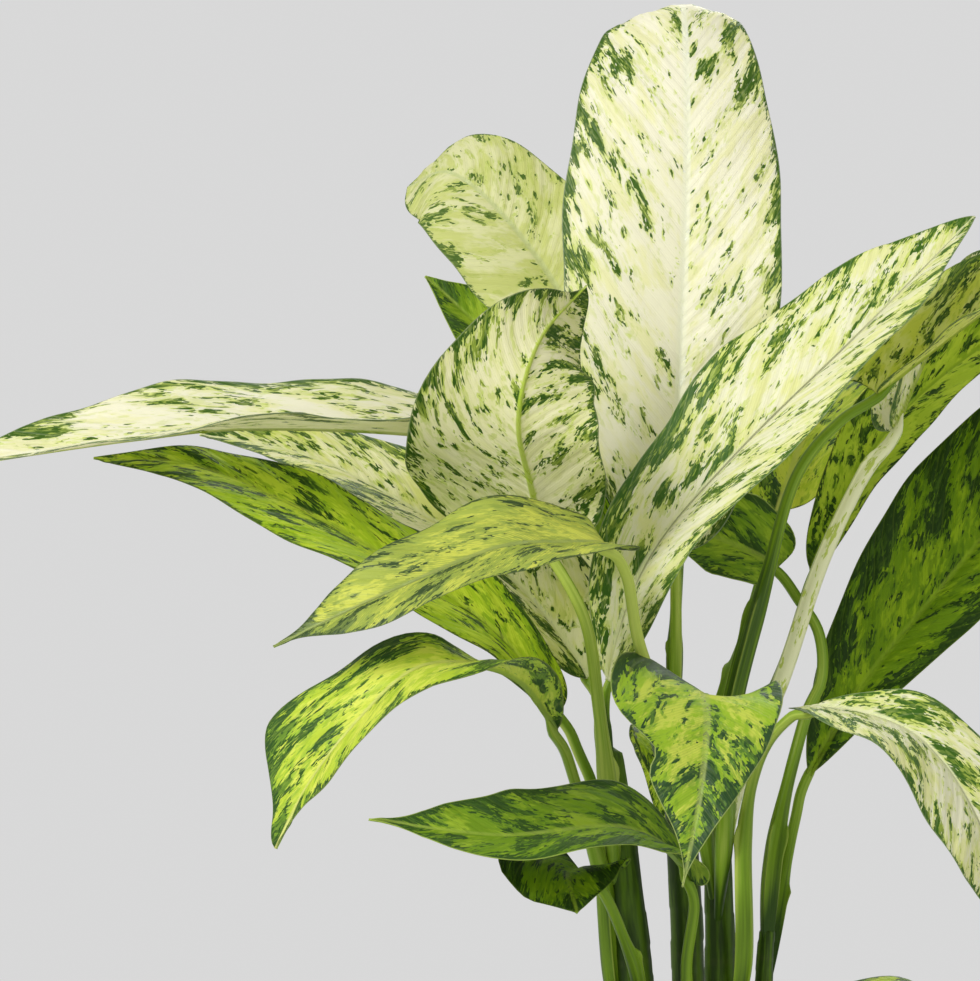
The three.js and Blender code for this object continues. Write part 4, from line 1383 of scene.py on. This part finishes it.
    @staticmethod
    def faces(rows: int, count: int) -> Faces:
        """The faces between the rows' rings, and those that close the base and the tip.

        Args:
            rows: How many rows.
            count: How many points a row has on its upper side.

        Returns:
            The faces, as their corners' numbers.
        """
        ring = 2 * count + 2
        faces = ring_faces(rows, ring)
        strip = [(k, k + 1, 2 * count - 1 - k, 2 * count - k) for k in range(count - 1)]
        strip += [(count - 1, count, count + 1), (0, 2 * count, 2 * count + 1)]
        faces += [corners[::-1] for corners in strip]
        last = (rows - 1) * ring
        return faces + [tuple(last + k for k in corners) for corners in strip]

    @staticmethod
    def lay_out(piece: Piece, grid: BladeGrid) -> None:
        """Gives the blade one flat map: its upper side on the left half, its underside on the right.

        Args:
            piece: The blade's object.
            grid: Its rows and columns.
        """
        count = grid.spread.size
        ring = 2 * count + 2
        across = 0.485 * (grid.spread[0] + 1) / 2
        u = np.concatenate([across, [0.49], 0.98 - across[::-1], [0.985]])
        mesh = piece.data
        corners = np.zeros(len(mesh.loops), int)
        mesh.loops.foreach_get("vertex_index", corners)
        row, column = corners // ring, corners % ring
        place = np.stack([u[column], 0.012 + 0.97 * grid.share[row, 0]], axis=1)
        sides = 4 * ring * (grid.rows - 1)
        quads = column[:sides].reshape(-1, 4)
        seam = ((quads == 0).any(1) & (quads == ring - 1).any(1))[:, None] & (quads == 0)
        place[:sides, 0][seam.ravel()] = 0.99
        below = column[sides:] > count
        flat = np.where(row[sides:] > 0, 0.99, 0.002)
        reach = np.where(below, 2 * count - column[sides:], column[sides:]) + 1
        place[sides:] = np.stack([reach / (count + 2), flat + 0.005 * below], axis=1)
        mesh.uv_layers.new(name="OFBake").uv.foreach_set("vector", place.astype(np.float32).ravel())


@dataclass(frozen=True)
class Stalk:
    """A leaf stalk: winged and channelled where it sheathes the cane, then round and slim up to the blade."""

    plan: LeafPlan
    least: int = 12
    spacing: float = 3.5
    end_radius: float = 3.1
    reach: float = 16.0
    wing: float = 0.9
    wing_angle: float = 0.8
    ear: float = 1.7
    rooting: float = 65.0
    grain_radius: float = 5

    def angles(self) -> Array:
        """The places round the stalk, from its upper side, closer together at the wings."""
        half = [0.2, 0.4, 0.56, 0.66, 0.74, 0.8, 0.86, 0.94, 1.06, 1.25, 1.55, 1.9, 2.3, 2.7]
        return np.array([0.0, *half, math.pi, *(-angle for angle in reversed(half))])

    def radius(self, place: Array, length: Array) -> Array:
        """The stalk's radius: stout in its sheath, slim above it, thin where it roots and under the blade.

        Args:
            place: How far along the stalk, 1 where the blade begins.
            length: How far from its root, in millimetres.

        Returns:
            The radius at each place, in millimetres.
        """
        plan = self.plan
        bare = smoothstep(place, plan.sheath - 0.04, plan.sheath + 0.12)
        sheathed = between((plan.girth + 0.8, plan.girth), place / 0.5)
        slim = between((plan.girth * 0.8, self.end_radius), np.minimum(place, 1))
        radius = 0.96 * (sheathed * (1 - bare) + slim * bare)
        radius = radius * (1 - 0.72 * smoothstep(place, 1.0, float(place[-1])))
        return radius * (0.4 + 0.6 * smoothstep(length, 0, self.rooting))

    def add_to(self, tubes: Tubes) -> None:
        """Adds the stalk to its stem's tubes.

        Args:
            tubes: The tubes that its stem is made of.
        """
        plan = self.plan
        spine, start = Blade(plan).spine()
        end = start + self.reach / spine.length
        shares = np.linspace(0, end, max(self.least, round(spine.length * end / self.spacing)))
        upper = spine.carried(shares, plan.face[0])
        beside = np.cross(spine.along(shares), upper)
        length, place = shares * spine.length, shares / start

        radius = self.radius(place, length)
        sink = radius * 0.8 * smoothstep(place, 0.86, 1.02) + 0.9 * smoothstep(place, 0.9, 1.05)
        centre = spine.point(shares) - upper * sink[:, None]
        angle = self.angles()[None, :]
        closing = smoothstep(place, plan.sheath + 0.025, plan.sheath - 0.005)
        wing = self.wing * smoothstep(place, 0.0, 0.25) * closing
        wing = wing * (1 + self.ear * bell(place, plan.sheath - 0.02, 0.03))
        ridge, groove = bell(np.abs(angle), self.wing_angle, 0.13), bell(angle, 0, 0.5)
        depth = 0.2 * closing + 0.1 * (1 - closing) * smoothstep(place, 1.05, 0.9)
        reach = radius[:, None] * (1 - depth[:, None] * groove) + wing[:, None] * ridge

        grain = self.grain_radius
        where = stacked(grain * np.cos(angle), grain * np.sin(angle), length[:, None] + plan.seed * 40)
        young = smoothstep(place, 0.2, 0.9)[:, None] * 0.2
        foot = smoothstep(length, self.rooting, 10.0)[:, None]
        edge = ridge * closing[:, None] * (1 - foot)
        look = stacked(plan.pale + young - foot * 0.45, plan.mottle * (1 - foot), edge)
        tubes.add(circled(centre, reach, angle, upper, beside), where, look)


@dataclass(frozen=True)
class Cane:
    """One cane: a thick green stem ringed by the scars of fallen leaves."""

    plan: CanePlan
    sides: int = 40
    spacing: float = 2.0
    pitch: float = 17.0
    ringed_to: Pair = (190, 130)
    aged_to: Pair = (165, 10)
    grain_radius: float = 8

    def add_to(self, tubes: Tubes) -> None:
        """Adds the cane to its tubes.

        Args:
            tubes: The tubes that its stem is made of.
        """
        spine = Spine(self.plan.axis)
        shares = np.linspace(0, 1, round(spine.length / self.spacing))
        first = spine.carried(shares, (1.0, 0.0, 0.0))
        second = np.cross(spine.along(shares), first)
        length = shares * spine.length
        radius = 0.97 * np.interp(shares, np.linspace(0, 1, len(self.plan.radius)), self.plan.radius)
        node = (length / self.pitch) % 1
        ringed = smoothstep(length, *self.ringed_to)
        radius = radius + (0.55 * bell(node, 0.5, 0.07) - 0.25 * bell(node, 0.62, 0.05)) * ringed
        radius = radius * (1 - 0.85 * smoothstep(shares, 0.985, 1.0))
        angle = (np.arange(self.sides) * TURN / self.sides)[None, :]
        lean = 0.25 * np.sin(angle + np.floor(length / self.pitch)[:, None] * 2.4)
        grain = self.grain_radius
        where = stacked(grain * np.cos(angle), grain * np.sin(angle), length[:, None])
        scar, age = ringed * bell(node, 0.5, 0.09), smoothstep(length, *self.aged_to)
        look = stacked(age[:, None], scar[:, None], np.ones_like(angle))
        tubes.add(circled(spine.point(shares), radius[:, None] + lean, angle, first, second), where, look)


@dataclass(frozen=True)
class LeafyStem:
    """One packed leafy stem: its cane, and the stalks of the leaves that grow from it."""

    stem: Stem

    def build(self, skin: Material, bark: Material) -> None:
        """Makes the cane and the stalks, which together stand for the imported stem.

        Args:
            skin: The stalks' material.
            bark: The cane's material.
        """
        name = self.stem.value
        cane, stalks = Tubes(), Tubes()
        for plan in CANES:
            if plan.stem is self.stem:
                Cane(plan).add_to(cane)
        for leaf in LEAVES:
            if leaf.stem is self.stem:
                Stalk(leaf).add_to(stalks)
        settle(cane.piece(f"cane_{name}", bark), "stem_green", f"leafy_stem_{name}")
        settle(stalks.piece(f"stalks_{name}", skin), "stem_green", f"leafy_stem_{name}")


# ---------------------------------------------------------------- soil and pot
@dataclass(frozen=True)
class Pot:
    """A plain round pot that widens to a rim band, with softened edges."""

    height: float = 180
    middle: float = 34
    base: float = 74
    neck: float = 98
    rim: float = 105
    band: float = 22
    wall: float = 6
    floor: float = 8
    slant: float = 2.5
    ledge: Pair = (4, 8)
    wall_rings: int = 12
    sides: int = 160

    def wall_at(self, height: float) -> float:
        """The outer radius below the rim band."""
        return self.base + (self.neck - self.base) * height / (self.height - self.band)

    @staticmethod
    def rounded(corners: Sequence[Triple], steps: int = 5) -> list[Pair]:
        """A cut through the pot with its corners rounded.

        Args:
            corners: Radius, height and rounding of each corner, walked anticlockwise.
            steps: How many points each rounding has, less one.

        Returns:
            The cut's points.
        """
        profile: list[Pair] = []
        for index, (radius, height, soft) in enumerate(corners):
            if soft == 0:
                profile.append((radius, height))
                continue
            at = np.array([radius, height])
            before, after = (np.array(corners[(index + k) % len(corners)][:2]) for k in (-1, 1))
            entry, leave = at + unit(before - at) * soft, at + unit(after - at) * soft
            for t in np.arange(steps + 1) / steps:
                point = entry * (1 - t) ** 2 + at * 2 * t * (1 - t) + leave * t**2
                profile.append((float(point[0]), float(point[1])))
        return profile

    def build(self, clay: Material) -> None:
        """Makes the pot.

        Args:
            clay: The pot's material.
        """
        shoulder = self.height - self.band
        inner = self.rim - self.wall
        above, below = self.ledge
        heights = [shoulder * k / self.wall_rings for k in range(1, self.wall_rings)]
        corners = [
            (self.middle, 0.0, 0.0), (self.base, 0.0, 3.0),
            *((self.wall_at(height), height, 0.0) for height in heights),
            (self.wall_at(shoulder), shoulder, 1.2), (self.rim, shoulder + self.slant, 2.2),
            (self.rim, self.height, 2.6), (inner, self.height, 2.6), (inner, shoulder - above, 5.0),
            (self.wall_at(shoulder - below) - self.wall, shoulder - below, 3.0),
            (self.wall_at(self.floor) - self.wall, self.floor, 4.0), (self.middle, self.floor, 0.0),
        ]
        points, faces = turned(self.rounded(corners), self.sides)
        settle(make_piece("pot_turned", points, faces, clay), "pot", "pot")


@dataclass(frozen=True)
class Soil:
    """Compost heaped a little in the middle of the pot, with bark, crumbs and perlite lying on it."""

    radius: float = 90.2
    edge: float = 150.0
    crown: float = 163.0
    falls: tuple[Triple, ...] = ((5, 18, 66), (8, 58, 92))
    bottom: Pair = (68.9, 8.4)
    rough: float = 1.5
    lump: float = 11
    calm: float = 84
    strewn: float = 86
    sides: int = 132
    rings: int = 44

    def surface(self, x: float, y: float) -> float:
        """How high the compost is there.

        Args:
            x: The place along the first axis, in millimetres.
            y: The place along the second.

        Returns:
            The height, in millimetres.
        """
        distance = math.hypot(x, y)
        fallen = sum(drop * float(smoothstep(distance, near, far)) for drop, near, far in self.falls)
        lumps = noise.fractal(Vector((x / self.lump, y / self.lump, 3.1)), 0.7, 2.1, 4)
        return self.crown - fallen + self.rough * lumps * float(smoothstep(distance, self.radius, self.calm))

    def body(self) -> tuple[Array, Faces]:
        """The compost as a closed solid, rough on top.

        Returns:
            The points and the faces.
        """
        shares = [k / self.rings for k in range(self.rings + 1)]
        profile = [self.bottom, *((self.radius * (1 - share) + 0.6 * share, self.edge) for share in shares)]
        points, faces = turned(profile, self.sides)
        for point in points[self.sides:]:
            point[2] = self.surface(point[0], point[1])
        return points, faces

    def scattered(self, count: int, size: Pair, flat: Triple, seed: int, lift: float) -> tuple[Array, Faces]:
        """Small irregular lumps that lie on the compost.

        Args:
            count: How many.
            size: Their least and greatest radius.
            flat: How far each axis of a lump is stretched.
            seed: For the random draws.
            lift: How far a lump stands out, as a share of its radius.

        Returns:
            The lumps' points and faces as one mesh.
        """
        draw = np.random.default_rng(seed)
        ball = bmesh.new()
        bmesh.ops.create_icosphere(ball, subdivisions=2, radius=1.0)
        shape = np.array([vertex.co[:] for vertex in ball.verts])
        sides = [tuple(vertex.index for vertex in face.verts) for face in ball.faces]
        ball.free()
        points, faces = [], []
        for index in range(count):
            distance, turn = self.strewn * math.sqrt(draw.uniform(0.0, 1.0)), draw.uniform(0, TURN)
            x, y = distance * math.cos(turn), distance * math.sin(turn)
            radius = draw.uniform(*size)
            lumpy = shape * (1 + draw.uniform(-0.28, 0.28, (len(shape), 1)))
            lumpy = lumpy * np.array(flat) * draw.uniform(0.7, 1.3, 3) * radius
            tilt = Euler((draw.uniform(-0.5, 0.5), draw.uniform(-0.5, 0.5), draw.uniform(0, 6.3))).to_matrix()
            lumpy = lumpy @ np.array(tilt).T + np.array([x, y, self.surface(x, y) + lift * radius])
            faces += [tuple(corner + index * len(shape) for corner in side) for side in sides]
            points.append(lumpy)
        return np.vstack(points), faces

    def build(self) -> None:
        """Makes the compost and what lies on it."""
        compost = CrumbFinish("compost", srgb(38, 28, 21), srgb(82, 64, 48), 4.0).material()
        bark = CrumbFinish("bark", srgb(74, 52, 35), srgb(128, 96, 66), 3.0).material()
        perlite = CrumbFinish("perlite", srgb(205, 200, 190), srgb(236, 233, 226), 2.0, 0.8).material()
        settle(make_piece("compost", *self.body(), compost), "soil", "soil")
        for name, count, size, flat, seed, lift, material in (
            ("compost_crumbs", 420, (1.0, 2.6), (1.0, 0.85, 0.7), 3, 0.1, compost),
            ("bark_chips", 130, (2.4, 5.2), (1.5, 0.8, 0.35), 5, 0.15, bark),
            ("perlite_grains", 70, (1.0, 2.0), (1.0, 0.9, 0.85), 8, 0.3, perlite),
        ):
            points, faces = self.scattered(count, size, flat, seed, lift)
            settle(make_piece(name, points, faces, material), "soil")


# ---------------------------------------------------------------- the studio
@dataclass(frozen=True)
class Lamp:
    """One soft square lamp that looks at the plant, with its power in watts."""

    name: str
    place: Triple
    size: float
    power: float
    aim: Triple = (0.0, 0.0, 0.5)

    def build(self) -> None:
        """Hangs the lamp."""
        data = bpy.data.lights.new(self.name, "AREA")
        data.shape, data.size, data.energy = "SQUARE", self.size, self.power
        lamp = bpy.data.objects.new(self.name, data)
        lamp.location = self.place
        lamp.rotation_euler = (Vector(self.aim) - Vector(self.place)).to_track_quat("-Z", "Y").to_euler()
        bpy.context.scene.collection.objects.link(lamp)


LAMPS = (
    Lamp("key_lamp", (-1.7, -2.0, 2.0), 1.3, 72),
    Lamp("fill_lamp", (2.2, -2.0, 1.0), 1.8, 12),
    Lamp("rear_lamp", (0.6, 1.9, 2.3), 1.4, 30),
)


@dataclass(frozen=True)
class Studio:
    """The pale floor, the soft light and the camera of the photograph, in metres."""

    camera_place: Triple = (-0.10615, -2.4, 0.5601)
    metres_across: float = 0.539
    sensor: float = 36.0
    backdrop: float = 0.69
    air_light: float = 0.64
    floor_radius: float = 2.2
    floor_depth: float = 0.004
    floor_gap: float = 0.0003
    floor_sides: int = 128

    def light(self) -> None:
        """Fills the air with even light, which the camera sees as a brighter backdrop, and hangs the lamps."""
        scene = bpy.context.scene
        scene.view_settings.view_transform = "Standard"
        scene.world = bpy.data.worlds.new("studio_air")
        air = ShaderTree("studio_air", scene.world)
        seen = air.node("ShaderNodeLightPath").out("Is Camera Ray")
        strength = seen * (1 - self.air_light) + self.air_light
        sockets = {"Color": (self.backdrop,) * 3, "Strength": strength}
        glow = air.node("ShaderNodeBackground", None, sockets).out("Background")
        air.node("ShaderNodeOutputWorld", None, {"Surface": glow})
        for lamp in LAMPS:
            lamp.build()

    def floor(self) -> None:
        """Lays the floor a hair below the pot."""
        radius, top = self.floor_radius / MM, -self.floor_gap / MM
        points, faces = turned([(radius, top - self.floor_depth / MM), (radius, top)], self.floor_sides)
        floor = make_piece("studio_floor", points, faces, FloorFinish().material())
        floor.data.polygons.foreach_set("use_smooth", [False] * len(floor.data.polygons))

    def camera(self) -> None:
        """Sets up the camera, level and far enough off to show little perspective."""
        data = bpy.data.cameras.new("photograph_camera")
        data.sensor_fit, data.sensor_width = "HORIZONTAL", self.sensor
        data.lens = self.sensor * abs(self.camera_place[1]) / self.metres_across
        camera = bpy.data.objects.new("photograph_camera", data)
        camera.location = self.camera_place
        camera.rotation_euler = (math.radians(90), 0, 0)
        bpy.context.scene.collection.objects.link(camera)
        bpy.context.scene.camera = camera


def main() -> None:
    """Builds the plant, its pot and the studio, in order."""
    logging.basicConfig(level=logging.INFO, format="%(name)s: %(message)s")
    studio = Studio()
    studio.floor()
    studio.light()
    studio.camera()
    Pot().build(PotFinish().material())
    Soil().build()
    skin, bark = StalkFinish().material(), CaneFinish().material()
    for stem in Stem:
        LeafyStem(stem).build(skin, bark)
    made: dict[BladeFinish, Material] = {}
    for leaf in LEAVES:
        if leaf.finish not in made:
            made[leaf.finish] = leaf.finish.material()
        piece = Blade(leaf).build(made[leaf.finish])
        settle(piece, leaf.finish.slot, f"blade_{leaf.name}")


if __name__ == "__main__":
    main()
